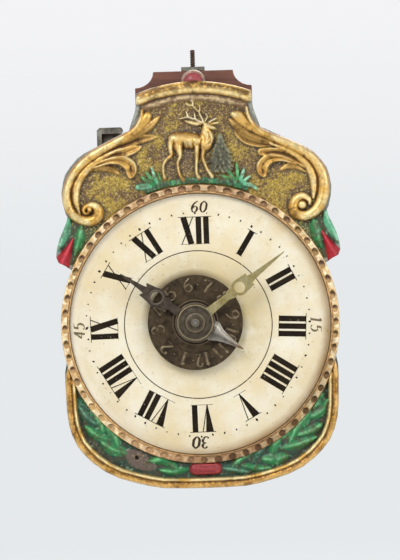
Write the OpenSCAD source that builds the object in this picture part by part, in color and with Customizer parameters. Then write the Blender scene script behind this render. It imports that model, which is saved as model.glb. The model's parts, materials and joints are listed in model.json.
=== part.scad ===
// Small Black Forest wall clock with a pressed sheet-metal shield, an enamel dial and an alarm.
// Millimetres, +Z up. The front faces -Y and the wall is at +Y. The origin is the hanger hole at the wall.
// Inside the modules, x = 0 is the middle of the case, z = 0 the dial centre, y = 0 the board's front.
// Skilled work in this model: meshing wheels with lantern pinions, and the raised relief of the shield.

/* [Dial and shield] */
// Radius of the enamel that shows inside the beaded ring
dial_r = 46.8; // [46.2:0.1:47.2]
// Thickness of the pressed sheet
sheet_t = 1; // [0.6:0.1:1.6]
// Depth of the pan from the sheet's front to the front board
pan_depth = 8; // [7.6:0.1:10]
// Height of the raised ornament above the sheet
relief = 1; // [0.7:0.1:1.3]
// Number of beads on the ring
bead_count = 60; // [48:1:66]
// Radius of the torus along the cornice
cornice_r = 1.75; // [1.4:0.05:2]
// Width of the rolled rim below the dial
rim_w = 3.6; // [2.6:0.1:4.4]
// Height of the enamel's dome at its middle
dome_h = 2.4; // [1.6:0.1:2.8]
// Thickness of the enamel dial
dial_t = 1; // [0.7:0.1:1.3]

/* [Case] */
// Width of the case
case_w = 86; // [85:0.5:87]
// Thickness of the front board and the back board
board_t = 4; // [3:0.1:4.6]
// Thickness of the top board and the bottom board
shelf_t = 3; // [2.2:0.1:3.6]
// Thickness of the doors
door_t = 2; // [1.4:0.1:2.4]
// Clear depth between the front board and the back board
case_d = 38; // [37.6:0.1:42]
// Gap around a closed door
door_gap = 0.3; // [0.2:0.05:0.5]
// Distance between the back board and the wall
wall_gap = 12; // [11:0.5:18]

/* [Movement] */
// Thickness of the brass plates
plate_t = 1.2; // [1:0.1:1.6]
// Module of the going wheels
going_m = 0.55; // [0.53:0.01:0.55]
// Module of the minute wheel and the change wheel
motion_m = 0.6; // [0.58:0.01:0.61]
// Radius of the lantern pinion wires
wire_r = 0.33; // [0.28:0.01:0.36]
// Radius of the thick part of each arbor
arbor_r = 1.3; // [0.9:0.1:1.6]
// Radius of the pivots in the plates
pivot_r = 0.6; // [0.5:0.05:0.7]
// Radial clearance of every running fit
run_gap = 0.06; // [0.04:0.01:0.1]
// Thickness of the wheels
wheel_t = 1.2; // [0.9:0.1:1.4]
// Radius of the escape wheel
escape_r = 13; // [12:0.1:13.2]
// Distance that the pallets are backed off from the escape wheel
pallet_gap = 0.6; // [0.55:0.05:0.9]
// Radius of the alarm wheel
alarm_r = 13.5; // [12.5:0.1:13.6]
// Radius of the chain sprockets without their spikes
sprocket_r = 4.6; // [4:0.1:5]

/* [Hands] */
// Length of the hour hand from its pivot
hour_len = 32; // [30:0.5:34]
// Length of the minute hand from its pivot
minute_len = 40.7; // [38:0.1:42]
// Length of the alarm pointer from its pivot
pointer_len = 19.7; // [18:0.1:21]
// Thickness of the hands
hand_t = 0.8; // [0.5:0.1:0.9]
// Radius of the alarm disc
alarm_disc_r = 17.1; // [16:0.1:18]

/* [Bell and hanger] */
// Radius of the bare bell post
post_r = 0.97; // [0.8:0.01:1.2]
// Length of the bell post above its strap
post_len = 6.5; // [5:0.5:9]
// Radius of the hanger hole
hang_r = 2.5; // [2:0.1:3]

/* [Hidden] */
$fn = 48;
case_x = case_w / 2;
case_top = 60;
case_bottom = -45;
back_y = board_t + case_d;
rear_y = back_y + board_t;
wall_y = rear_y + wall_gap;
hang_z = 65.5;
strap_t = 1.3;
strap_y = back_y - 8.8;

// Every movement position is measured from the front board's rear face.
axis_x = -1.8;
axis_z = 0.6;
front_plate_y = board_t + 8;
plates_y = front_plate_y + plate_t;
rear_plate_y = back_y - 4;
movement_end_y = rear_plate_y + plate_t;
// The wheels share out the depth between the plates; step is one part in 24.8 of it.
step = (rear_plate_y - plates_y) / 24.8;
cam_y = board_t + 0.7;
hour_y = board_t + 3.6;
minute_y = board_t + 5.6;
great_y = plates_y + 3.8 * step;
second_y = plates_y + 16.8 * step;
escape_y = plates_y + 7.8 * step;
alarm_y = plates_y + 16.3 * step;
arm_y = plates_y + 18.8 * step;

great_n = 72;
second_n = 66;
escape_n = 30;
minute_n = 36;
hour_n = 72;
pinion_n = 6;
alarm_n = 20;
hour_m = motion_m * 2 * minute_n / (hour_n + pinion_n);

// Arbors are placed one after the other at the centre distance of their wheels.
great_c = [axis_x, axis_z] + motion_m * minute_n * [cos(-65.4), sin(-65.4)];
second_a = 78;
second_c = great_c + going_m * (great_n + pinion_n) / 2 * [cos(second_a), sin(second_a)];
escape_a = 105;
escape_c = second_c + going_m * (second_n + pinion_n) / 2 * [cos(escape_a), sin(escape_a)];
anchor_d = escape_r * sqrt(2);
anchor_c = [0, escape_c[1] + sqrt(anchor_d * anchor_d - escape_c[0] * escape_c[0])];
anchor_a = atan2(anchor_c[1] - escape_c[1], anchor_c[0] - escape_c[0]);
alarm_c = [-21, -14];
hammer_d = alarm_r * sqrt(2);
hammer_a = 100.9;
hammer_c = alarm_c + hammer_d * [cos(hammer_a), sin(hammer_a)];
lever_c = [-22, 12];
pillars = [[-29, -36], [27, -36], [-29, 51], [27, 51]];

// Front stack on the centre stud, from the dial outwards.
seat_y = pan_depth - sheet_t;
disc_y = seat_y + dome_h + 2.8;
pointer_y = disc_y + 1.4;
hour_hand_y = pointer_y + hand_t + 0.3;
minute_hand_y = hour_hand_y + hand_t + 0.9;
washer_y = minute_hand_y + hand_t + 0.3;
stud_r = 1;
minute_pipe_r = 1.9;
hour_pipe_r = 3;
alarm_pipe_r = 4.4;
time_hour_a = 304.5;
time_minute_a = 53;
pointer_a = 117.5;

wood = [0.50, 0.36, 0.28];
gilt = [0.80, 0.64, 0.33];
brass_c = [0.78, 0.65, 0.36];
steel_c = [0.55, 0.55, 0.55];
iron_c = [0.36, 0.35, 0.33];
enamel_c = [0.94, 0.91, 0.82];

// Moves a piece from the dial's frame to the frame of the hanger hole.
module in_frame() translate([0, -wall_y, -hang_z]) children();
// Extrudes an outline drawn in x and z from depth y0 over the length len toward the wall.
module slab(y0, len) translate([0, y0 + len, 0]) rotate([90, 0, 0]) linear_extrude(len) children();
// A round rod along y with its centre at c.
module rod(c, y0, len, r) translate([c[0], y0 + len, c[1]]) rotate([90, 0, 0]) cylinder(h = len, r = r);
// Revolves a profile of [radius, distance in front of the board] about the y axis at c.
module spun(c) translate([c[0], 0, c[1]]) rotate([90, 0, 0]) rotate_extrude() children();

function unit(v) = v / norm(v);
// Moves each point of a closed outline inward by d.
function inset(p, d) = [for (i = [0:len(p) - 1])
    let (a = p[(i + len(p) - 1) % len(p)], b = p[i], c = p[(i + 1) % len(p)])
    let (u = unit(b - a), v = unit(c - b), n = unit([-u[1] - v[1], u[0] + v[0]]))
    b + n * d / max(0.5, n * [-u[1], u[0]])];
function mirror_x(p) = [for (i = [len(p) - 1:-1:0]) [-p[i][0], p[i][1]]];
function arc(c, r, a0, a1, n) = [for (i = [0:n]) let (a = a0 + (a1 - a0) * i / n)
    c + r * [cos(a), sin(a)]];
function polar(r, a) = r * [cos(a), sin(a)];
// Tooth corners of a wheel with n teeth of module m; add is the height of a tooth above the pitch circle.
function teeth(n, m, add) = [for (k = [0:n - 1]) for (q = [
    [-1.1 * m, -0.85 * m], [0, -0.7 * m], [0.55 * add, -0.45 * m], [add, -0.15 * m],
    [add, 0.15 * m], [0.55 * add, 0.45 * m], [0, 0.7 * m], [-1.1 * m, 0.85 * m]])
    let (r = n * m / 2 + q[0]) polar(r, 360 * k / n + q[1] / r * 180 / PI)];
// Saw teeth: a straight front face and a sloping back.
function saw(n, r, h) = [for (k = [0:n - 1]) for (q = [[-h, 0.5], [0, 0], [0, 0.8], [-h, 360 / n - 3]])
    polar(r + q[0], 360 * k / n + q[1])];

// A wheel with four spokes, drawn in its own plane.
module wheel_2d(outline, root_r, hub_r, rim, spoke, bore) {
    difference() {
        polygon(outline);
        difference() {
            circle(r = root_r - rim);
            circle(r = hub_r);
            for (k = [0:1])
                rotate(90 * k + 45)
                    square([2 * root_r, spoke], center = true);
        }
        circle(r = bore);
    }
}

// A lantern pinion's two brass discs, with the holes for its wires.
module pinion_discs(c, y0, y1, r, a, bore) {
    for (y = [y0, y1 - 0.8])
        slab(y, 0.8)
            translate(c)
                difference() {
                    circle(r = r + wire_r + 0.6);
                    circle(r = bore);
                    for (k = [0:pinion_n - 1])
                        translate(polar(r, a + 60 * k))
                            circle(r = wire_r + 0.02);
                }
}

// The wires of a lantern pinion.
module pinion_wires(c, y0, y1, r, a) {
    for (k = [0:pinion_n - 1])
        rod(c + polar(r, a + 60 * k), y0, y1 - y0, wire_r);
}

// An arbor between the plates, thin where its pinion sits, with a pivot at each end.
module arbor(c, thin0, thin1, rear) {
    rod(c, front_plate_y + 0.2, plate_t + 0.4, pivot_r);
    rod(c, plates_y + 0.4, thin0 - plates_y - 0.4, arbor_r);
    rod(c, thin0 - 0.1, thin1 - thin0 + 0.2, pivot_r);
    rod(c, thin1, rear_plate_y - 0.4 - thin1, arbor_r);
    rod(c, rear_plate_y - 0.5, rear - rear_plate_y + 0.5, pivot_r);
}

// A chain sprocket: a drum with six spikes between two flanges.
module sprocket(c, y0, bore) {
    difference() {
        union() {
            rod(c, y0, 1, sprocket_r + 1.6);
            rod(c, y0 + 0.9, 4.2, sprocket_r);
            rod(c, y0 + 5, 1, sprocket_r + 1.6);
            for (k = [0:5])
                translate([c[0], y0 + 3, c[1]])
                    rotate([0, 60 * k, 0])
                        translate([0, 0, sprocket_r - 0.5])
                            cylinder(h = 2.4, r1 = 0.7, r2 = 0.25);
        }
        rod(c, y0 - 1, 8, bore);
    }
}

// Half of the shield's outline, from the bottom middle up the right side to the cornice.
cornice_c = [0, 30.6];
cornice_R = 56.9;
ring_R = 50;
shield_half = concat(
    [[0, -59.2], [8, -59.1], [15, -58.8], [20, -57.9], [25, -56.6], [30.5, -54.9], [35.5, -52.5]],
    [[40, -49.2], [43, -46.2], [45.5, -43], [47.4, -38.8], [48.4, -35], [49, -30], [49.3, -20]],
    arc([0, 0], ring_R, -14, 25, 8),
    [[48.3, 22.4], [50.4, 23.4], [51.3, 25.5], [51, 28], [49.9, 32], [47.2, 38], [46.8, 39.9]],
    [[47.4, 41], [48.4, 45], [48.7, 48.5], [48, 52.5], [47.2, 55.2], [45.2, 58], [42.5, 61]],
    [[40, 62.7], [35, 65.1], [30, 67.5], [25.3, 69.8], [23.7, 70.3], [23, 72.5], [22.1, 75]],
    [[21.3, 77.5], [20.9, 80]],
    arc(cornice_c, cornice_R, 68.6, 85, 5));
shield_top = arc([0, 87.2], 4.5, 0, 180, 8);
shield_outline = concat(shield_half, shield_top,
    [for (i = [len(shield_half) - 1:-1:1]) [-shield_half[i][0], shield_half[i][1]]]);

// One leaf or lobe: a closed outline through points, raised above the sheet by h.
module raised(h, p) slab(-pan_depth - h * relief, h * relief + 0.2) polygon(p);

// Leaves of one C-scroll; s is 1 on the right and -1 on the left.
module scroll_side(s) {
    raised(1.4, [[s * 12.7, 74], [s * 15, 76.3], [s * 19.3, 76.4], [s * 19.8, 73.5], [s * 22.5, 70.5],
        [s * 27, 67.3], [s * 24, 65.6], [s * 17.5, 66.8], [s * 14.6, 69.5]]);
    raised(1.1, [[s * 22.5, 65.2], [s * 30, 66.4], [s * 37, 61.5], [s * 41, 57], [s * 33, 60],
        [s * 22.5, 60.6], [s * 20.6, 62.8]]);
    raised(1.6, [[s * 31, 60], [s * 24, 59.2], [s * 22, 56.8], [s * 23, 53], [s * 25.2, 52.4],
        [s * 27.5, 54.6], [s * 31.5, 57.6]]);
    raised(1.2, [[s * 31, 57.8], [s * 37, 57.6], [s * 41, 55.4], [s * 37, 54.8], [s * 31, 55.4]]);
}

// The band of a C-scroll from the shoulder down to its volute.
scroll_band = concat(
    [[25, 68.6], [32, 65.4], [39, 62], [43.5, 58.4], [46.4, 54.4], [47.6, 49], [47, 44], [45.4, 40.4]],
    [[42.6, 41.2], [42.6, 46], [42.3, 50], [41.6, 54], [38, 58.6], [32, 62.2], [25, 65.6]]);

// Body, legs, neck and head of the stag, which faces right.
stag = [[-9.7, 66], [-8, 69.3], [-5, 69], [0, 67.6], [2, 68.6], [2.2, 71], [3.4, 73], [5, 72.8],
    [6.8, 71.2], [6.6, 70.2], [5, 70], [5.6, 68.4], [6.8, 66.5], [5.8, 64], [4.6, 60], [6.6, 53],
    [5.2, 53], [3.2, 58.5], [2.4, 58.5], [2.6, 53], [0.8, 52.6], [0.8, 63], [-4.4, 63.4], [-5, 61],
    [-4, 52.2], [-5.6, 52.2], [-6.8, 57], [-7.6, 61.6], [-10.4, 58], [-10.8, 52.6], [-12.6, 52.6],
    [-12.4, 58.2], [-10.6, 62.4]];
antlers = [[2.2, 72], [-1, 72.2], [-5.2, 73.4], [-4.6, 74.4], [-2.6, 73.8], [-3, 77], [-2.2, 77.2],
    [-1.2, 73.6], [0.4, 73.4], [-1, 76.2], [-1, 80.2], [-0.2, 80.6], [0.2, 77], [1.4, 74.4], [1.6, 78.4],
    [2.2, 78.4], [2.8, 74], [4.2, 73.6], [7.6, 74.4], [7.8, 73.6], [4.4, 72.4]];
pine = [[4.6, 53], [4.6, 55.2], [6, 58], [5.4, 58.4], [7, 61.6], [6.6, 62], [8, 65.4], [9.3, 69.6],
    [10.6, 65.4], [11.8, 62], [11.4, 61.6], [13, 58.4], [12.2, 58], [13.8, 55.2], [13.8, 53]];
laurel = [[6.6, -50.4], [14, -48.6], [24, -44.8], [33, -38.6], [40.4, -29.6], [42.8, -25.6],
    [43.6, -31], [42, -37.6], [37.5, -43.8], [31, -48.6], [22, -52.2], [13, -54.2], [6.6, -54.6]];

module shield() color(gilt) in_frame() {
    difference() {
        union() {
            slab(-pan_depth, pan_depth) polygon(shield_outline);
            // Beaded ring round the dial.
            spun([0, 0]) polygon([[dial_r + 0.2, pan_depth - 0.4], [dial_r + 0.2, pan_depth + relief],
                [dial_r + 0.9, pan_depth + 1.8 * relief], [ring_R - 0.6, pan_depth + 1.8 * relief],
                [ring_R - 0.1, pan_depth + relief], [ring_R - 0.1, pan_depth - 0.4]]);
            // Beads.
            slab(-pan_depth - 3 * relief, 2 * relief)
                for (k = [0:bead_count - 1])
                    rotate(360 * k / bead_count)
                        translate([(dial_r + ring_R) / 2 + 0.1, 0])
                            square([1.9, 2.4], center = true);
            // Cornice roll and the moulding under it.
            in_cornice() translate([cornice_R - cornice_r, pan_depth + 0.6]) circle(r = cornice_r);
            in_cornice() translate([cornice_R - 6.4, pan_depth - 0.2]) square([3.4, 0.2 + 1.2 * relief]);
            // Red dome of the finial.
            translate([0, -pan_depth, 87.2]) sphere(r = 4);
            // Neck and shoulder edges.
            for (s = [-1, 1])
                raised(1, [[s * 19.6, 77.4], [s * 20.6, 77.2], [s * 21, 73], [s * 22.4, 70.9],
                    [s * 21.4, 70], [s * 19.8, 72.6]]);
            for (s = [-1, 1]) {
                scroll_side(s);
                raised(1.4, s > 0 ? scroll_band : mirror_x(scroll_band));
                spun([s * 38.4, 41.7]) polygon([[0, pan_depth - 0.2], [0, pan_depth + 2.6 * relief],
                    [2, pan_depth + 2.6 * relief], [2.4, pan_depth + 1.4 * relief],
                    [3.2, pan_depth + 1.4 * relief], [3.6, pan_depth + 2.2 * relief],
                    [4.9, pan_depth + 1.4 * relief], [4.9, pan_depth - 0.2]]);
                // Bud with its two sepals.
                raised(1.6, [[s * 46.8, 38], [s * 49.4, 32], [s * 50.6, 27.6], [s * 49.4, 24.4],
                    [s * 47, 25.6], [s * 44.4, 34.8]]);
                raised(1.3, laurel_side(s));
                // Clumps of leaves beside the stag.
                raised(1, [[s * 15, 49.4], [s * 15, 56.6], [s * 18, 57.4], [s * 21, 52.6], [s * 22.2, 48.4]]);
            }
            raised(2.2, stag);
            raised(1.8, antlers);
            raised(1.5, pine);
            raised(0.9, [[-17, 50.2], [17, 50.2], [14, 52.8], [-13, 52.8]]);
            // Red bar at the bottom of the apron.
            raised(2.2, [[-6.4, -54.6], [6.4, -54.6], [6.4, -49.2], [-6.4, -49.2]]);
            // Rolled rim below the dial, with its inner bead.
            for (s = [-1, 1]) {
                raised(1.6, rim_band(s, 0.1, rim_w));
                raised(2.2, rim_band(s, rim_w - 1.3, rim_w - 0.2));
            }
        }
        // Hollow behind the sheet, and the dial's opening.
        slab(-pan_depth + sheet_t, pan_depth) polygon(inset(shield_outline, 1.2));
        rod([0, 0], -pan_depth - 4, pan_depth + 8, dial_r);
        // Nail hole in the worn patch of the apron.
        rod([-24.3, -47.5], -pan_depth - 4, pan_depth + 8, 0.6);
    }
}
function laurel_side(s) = s > 0 ? laurel : mirror_x(laurel);
// Half of a band that follows the lower rim between two distances inside the outline.
function rim_band(s, d0, d1) = let (n = len(shield_outline), o = inset(shield_outline, d0),
    i = inset(shield_outline, d1),
    p = concat([for (k = [0:13]) o[k]], [for (k = [13:-1:0]) i[k]]))
    s > 0 ? p : mirror_x(p);
// Revolves a profile about the cornice's centre, over the cornice's width.
module in_cornice()
    translate([cornice_c[0], 0, cornice_c[1]])
        rotate([90, 0, 0])
            rotate([0, 0, 68.6])
                rotate_extrude(angle = 42.8)
                    children();

module dial() color(enamel_c) in_frame() {
    edge_y = seat_y - 0.05;
    dome_r = dial_r - 0.2;
    dome_R = (dome_r * dome_r + dome_h * dome_h) / (2 * dome_h);
    dome = [for (k = [0:10])
        let (r = dome_r * k / 10)
            [r, edge_y + dome_h - dome_R + sqrt(dome_R * dome_R - r * r)]];
    difference() {
        spun([0, 0])
            polygon(concat(dome, [[dial_r + 1.6, edge_y], [dial_r + 1.6, edge_y - dial_t]],
                [for (k = [10:-1:0]) dome[k] - [0, dial_t]]));
        rod([axis_x, axis_z], -seat_y - 9, 20, alarm_pipe_r + 2.6);
    }
}

// Wooden battens on the front board that carry the dial's edge and the sheet.
module battens() color(wood) in_frame() {
    for (s = [-1, 1])
        difference() {
            translate([-22, -seat_y, s > 0 ? 41 : -50])
                cube([44, seat_y, s > 0 ? 18 : 9]);
            rod([0, 0], -seat_y - 1, 1 + dial_t + 0.1, dial_r + 1.8);
            for (c = rivets)
                rod(c, -seat_y - 1, seat_y + 2, 0.82);
        }
}

// Four rivets from the sheet through battens and front board, clenched behind.
rivets = [[-18, 54.6], [18, 54.6], [-12, -48.8], [12, -48.8]];
module rivets() color(brass_c) in_frame() {
    for (c = rivets) {
        rod(c, -seat_y, seat_y + board_t + 0.5, 0.8);
        rod(c, board_t, 0.6, 1.6);
    }
}

board_half = concat(
    [[0, -53], [25, -53], [34, -49], [case_x, -41], [case_x, 57], [case_x - 2, case_top], [21.2, case_top]],
    [for (t = [0:15:90]) [21.2 - 6.7 * sin(t), 91.8 - 5.7 * cos(t)]]);
module front_board() color(wood) in_frame() {
    difference() {
        slab(0, board_t) polygon(concat(board_half, mirror_x(board_half)));
        rod([axis_x, axis_z], -1, board_t + 2, alarm_pipe_r + 3.2);
        for (c = rivets)
            rod(c, -1, board_t + 2, 0.82);
    }
}

nail_z = [case_top - shelf_t / 2, case_bottom + shelf_t / 2];
module back_board() color(wood) in_frame() {
    difference() {
        translate([-case_x, back_y, case_bottom]) cube([case_w, board_t, case_top - case_bottom]);
        rod(anchor_c, back_y - 1, board_t + 2, 2.4);
        rod([0, hook_z], back_y - 1, board_t + 2, 0.62);
        for (z = nail_z, x = [-30, 30])
            rod([x, z], back_y - 1, board_t + 2, 0.62);
        for (s = [-1, 1], z = pintle_z)
            translate([s * (case_x - 6), pintle_y, z])
                rotate([0, s * 90, 0])
                    cylinder(h = 10, r = 0.52);
    }
}

module top_board() color(wood) in_frame() {
    difference() {
        translate([-case_x, board_t, case_top - shelf_t]) cube([case_w, case_d, shelf_t]);
        // Slot for the hammer's strip.
        translate([-40.6, arm_y - 0.6, case_top - shelf_t - 1]) cube([7.4, 5.2, shelf_t + 2]);
        for (x = [-30, 30])
            rod([x, nail_z[0]], back_y - 6.1, 8, 0.62);
        for (p = foot_nails)
            translate([p[0], p[1], case_top - shelf_t - 1])
                cylinder(h = shelf_t + 2, r = 0.62);
    }
}

module bottom_board() color(wood) in_frame() {
    difference() {
        translate([-case_x, board_t, case_bottom]) cube([case_w, case_d, shelf_t]);
        // Two slots for the chains.
        for (s = [[great_c[0], great_y + 7.2], [alarm_c[0], great_y + 6.2]])
            translate([s[0] - 12, s[1] - 3, case_bottom - 1])
                cube([24, 6, shelf_t + 2]);
        for (x = [-30, 30])
            rod([x, nail_z[1]], back_y - 6.1, 8, 0.62);
    }
}

// Nails: four from the back into the boards, and those of the bell strap and the hanger.
foot_nails = [[0, strap_y - 10.2], [0, strap_y - 4.2], [-4, back_y - 3], [4, back_y - 3]];
module nails() color(iron_c) in_frame() {
    for (z = nail_z, x = [-30, 30]) {
        rod([x, z], back_y - 6, 6 + board_t + 0.1, 0.6);
        rod([x, z], rear_y, 0.7, 1.3);
    }
    for (p = foot_nails)
        translate([p[0], p[1], case_top - shelf_t]) {
            cylinder(h = shelf_t + strap_t + 0.1, r = 0.6);
            translate([0, 0, shelf_t + strap_t]) cylinder(h = 0.7, r = 1.3);
        }
}

// Doors swing outward on wires at the back edge of the case.
pintle_x = case_x + 1.3;
pintle_y = back_y + 1.4;
pintle_z = [-26, 36];
module door(s) {
    translate([s > 0 ? case_x - door_t : -case_x, board_t + door_gap, case_bottom + shelf_t + door_gap])
        cube([door_t, case_d - 2 * door_gap, case_top - case_bottom - 2 * shelf_t - 2 * door_gap]);
    // Hinge straps with their barrels.
    for (z = pintle_z) {
        difference() {
            union() {
                translate([s * pintle_x, pintle_y, z + 1])
                    cylinder(h = 6, r = 1);
                translate([s > 0 ? case_x : -case_x - 0.9, back_y - 9, z + 1])
                    cube([0.9, 8.6, 6]);
                translate([s > 0 ? case_x + 0.3 : -case_x - 0.9, back_y - 1, z + 1])
                    cube([0.6, 2.4, 6]);
            }
            translate([s * pintle_x, pintle_y, z])
                cylinder(h = 8, r = 0.5 + run_gap);
        }
    }
}
module left_door() color(wood) in_frame() door(-1);
module right_door() color(wood) in_frame() door(1);
module pintles() color(iron_c) in_frame() {
    for (s = [-1, 1], z = pintle_z) {
        translate([s * pintle_x, pintle_y, z - 0.5])
            cylinder(h = 8.5, r = 0.5);
        translate([s * (case_x - 5), pintle_y, z])
            rotate([0, s * 90, 0])
                cylinder(h = 6.3, r = 0.5);
    }
}

pivots = [great_c, second_c, escape_c, anchor_c, alarm_c, hammer_c];
module plate(y) {
    difference() {
        translate([-33, y, case_bottom + shelf_t])
            cube([63, plate_t, case_top - case_bottom - 2 * shelf_t]);
        for (c = pillars)
            rod(c, y - 1, plate_t + 2, 1.22);
        children();
    }
}
module front_plate() color(brass_c) in_frame()
    plate(front_plate_y) {
        for (c = pivots)
            rod(c, front_plate_y - 1, plate_t + 2, pivot_r + run_gap);
        rod(lever_c, front_plate_y - 1, plate_t + 2, 0.6 + run_gap);
        rod([axis_x, axis_z], front_plate_y - 1, plate_t + 2, 1.52);
    }
module rear_plate() color(brass_c) in_frame()
    plate(rear_plate_y) {
        for (c = pivots)
            rod(c, rear_plate_y - 1, plate_t + 2, pivot_r + run_gap);
        rod(lever_c, rear_plate_y - 1, plate_t + 2, 0.6 + run_gap);
    }
module pillars() color(brass_c) in_frame() {
    for (c = pillars) {
        rod(c, front_plate_y, rear_plate_y + plate_t - front_plate_y, 1.2);
        rod(c, plates_y, rear_plate_y - plates_y, 2.2);
    }
}
// Fixed stud on which the minute pipe turns.
module centre_stud() color(steel_c) in_frame() {
    rod([axis_x, axis_z], front_plate_y, plate_t, 1.5);
    rod([axis_x, axis_z], -washer_y - 3.2, washer_y + 3.2 + front_plate_y + 0.1, stud_r);
    rod([axis_x, axis_z], plates_y, 0.8, 2.2);
}

// Going train.
module great_wheel() color(brass_c) in_frame()
    slab(great_y, wheel_t)
        translate(great_c)
            wheel_2d([for (p = teeth(great_n, going_m, 1.05 * going_m)) rot(p, second_a)],
                going_m * (great_n / 2 - 1.1), 5.4, 2.2, 2.4, arbor_r);
function rot(p, a) = [p[0] * cos(a) - p[1] * sin(a), p[0] * sin(a) + p[1] * cos(a)];
module great_arbor() color(steel_c) in_frame() {
    rod(great_c, board_t + 0.8, front_plate_y - board_t + 1, pivot_r);
    rod(great_c, front_plate_y, plate_t + 0.5, pivot_r);
    rod(great_c, plates_y + 0.4, rear_plate_y - plates_y - 0.8, arbor_r);
    rod(great_c, rear_plate_y - 0.5, plate_t + 1, pivot_r);
}
module great_sprocket() color(brass_c) in_frame() {
    sprocket(great_c, great_y + 4.2, arbor_r);
    // Ratchet wheel.
    slab(great_y + wheel_t + 1.2, 1.2)
        translate(great_c)
            difference() {
                polygon(saw(16, 5.4, 1));
                circle(r = arbor_r);
            }
    slab(great_y + wheel_t + 2.3, 0.8)
        translate(great_c)
            difference() {
                circle(r = 3);
                circle(r = arbor_r);
            }
}
// The click and its spring sit on the rear face of the great wheel.
click_c = great_c + polar(10.4, 225);
module click() color(steel_c) in_frame() {
    slab(great_y + wheel_t + 1.3, 1)
        translate(click_c)
            rotate(225)
                union() {
                    circle(r = 1.5);
                    polygon([[-4.7, -0.5], [-4.5, 0.6], [-0.5, 1.4], [0.5, -1.4]]);
                }
    rod(click_c, great_y + wheel_t, 2.5, 0.7);
}
module click_spring() color(brass_c) in_frame()
    slab(great_y + wheel_t, 2.2)
        translate(great_c) {
            translate(polar(14.2, 315))
                circle(r = 1.2);
            polygon(concat([for (k = [0:8]) polar(12.3 + 0.25 * k, 233 + 10 * k)],
                [for (k = [8:-1:0]) polar(11.9 + 0.25 * k, 233 + 10 * k)]));
        }
module collet() color(brass_c) in_frame()
    slab(board_t + 1, 1.1)
        translate(great_c)
            difference() {
                circle(r = 1.8);
                circle(r = pivot_r + 0.01);
            }
module clutch_spring() color(brass_c) in_frame()
    slab(minute_y + wheel_t + 0.05, 0.5)
        translate(great_c)
            difference() {
                union() {
                    circle(r = 2.4);
                    for (k = [0:2])
                        rotate(120 * k)
                            translate([0, -0.9])
                                square([6, 1.8]);
                }
                circle(r = pivot_r + 0.02);
            }

module second_wheel() color(brass_c) in_frame()
    slab(second_y, wheel_t)
        translate(second_c)
            wheel_2d([for (p = teeth(second_n, going_m, 1.05 * going_m)) rot(p, escape_a)],
                going_m * (second_n / 2 - 1.1), 3.6, 2, 2.2, arbor_r);
second_pinion_r = going_m * pinion_n / 2;
pinion_y0 = great_y - 1.6;
pinion_y1 = great_y + 3.2;
module second_arbor() color(steel_c) in_frame() {
    arbor(second_c, pinion_y0, pinion_y1, movement_end_y + 0.3);
    pinion_wires(second_c, pinion_y0, pinion_y1, second_pinion_r, second_a + 30);
}
module second_pinion() color(brass_c) in_frame()
    pinion_discs(second_c, pinion_y0, pinion_y1, second_pinion_r, second_a + 30, pivot_r);

escape_y0 = second_y - 1.6;
escape_y1 = second_y + 3.2;
module escape_arbor() color(steel_c) in_frame() {
    arbor(escape_c, escape_y0, escape_y1, movement_end_y + 0.3);
    pinion_wires(escape_c, escape_y0, escape_y1, second_pinion_r, escape_a + 30);
}
module escape_pinion() color(brass_c) in_frame()
    pinion_discs(escape_c, escape_y0, escape_y1, second_pinion_r, escape_a + 30, pivot_r);
module escape_wheel() color(brass_c) in_frame()
    slab(escape_y, wheel_t)
        translate(escape_c)
            rotate(anchor_a)
                wheel_2d(saw(escape_n, escape_r, 2.6), escape_r - 2.6, 3, 1.5, 1.6, arbor_r);

// The anchor's two pallets stay outside the escape wheel's tips by the pallet gap.
module pallets_2d(r, gap, thick) {
    d = r * sqrt(2);
    q = (r + gap) / sqrt(2);
    side = [[q - 1.6, -d + q + 2], [q, -d + q], [q + thick, -d + q - 0.3],
        [q + thick + 0.6, -d + q + 3.5], [4, 1.4]];
    polygon(concat([[0, -2]], side, [[0, 2.6]], mirror_x(side)));
}
module anchor() color(steel_c) in_frame()
    slab(escape_y - 0.8, 2.8)
        translate(anchor_c)
            rotate(anchor_a - 90)
                difference() {
                    union() {
                        pallets_2d(escape_r, pallet_gap, 1.8);
                        circle(r = 2.8);
                    }
                    circle(r = arbor_r);
                }
crutch_y = rear_y + 2.6;
module anchor_arbor() color(steel_c) in_frame() {
    rod(anchor_c, front_plate_y + 0.2, plate_t + 0.4, pivot_r);
    rod(anchor_c, plates_y + 0.4, rear_plate_y - plates_y - 0.8, arbor_r);
    rod(anchor_c, rear_plate_y - 0.5, crutch_y + 1.6 - rear_plate_y + 0.5, pivot_r);
}
module crutch() color(steel_c) in_frame() {
    difference() {
        rod(anchor_c, crutch_y, 1.4, 1.7);
        rod(anchor_c, crutch_y - 1, 4, pivot_r);
    }
    translate([anchor_c[0], crutch_y + 0.7, anchor_c[1] - 21.5])
        cylinder(h = 20.2, r = 0.5);
    translate([anchor_c[0] - 1.6, crutch_y + 0.7, anchor_c[1] - 21.5])
        rotate([0, 90, 0])
            cylinder(h = 3.2, r = 0.5);
    for (s = [-1, 1])
        rod(anchor_c + [s * 1.6, -21.5], crutch_y + 0.2, 5, 0.5);
}
// Wire hook on the back board for the pendulum.
hook_z = anchor_c[1] + 6;
module pendulum_hook() color(iron_c) in_frame() {
    rod([0, hook_z], back_y + 0.5, board_t + 6.4, 0.6);
    translate([0, rear_y + 6.4, hook_z])
        cylinder(h = 2.4, r = 0.6);
}

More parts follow.
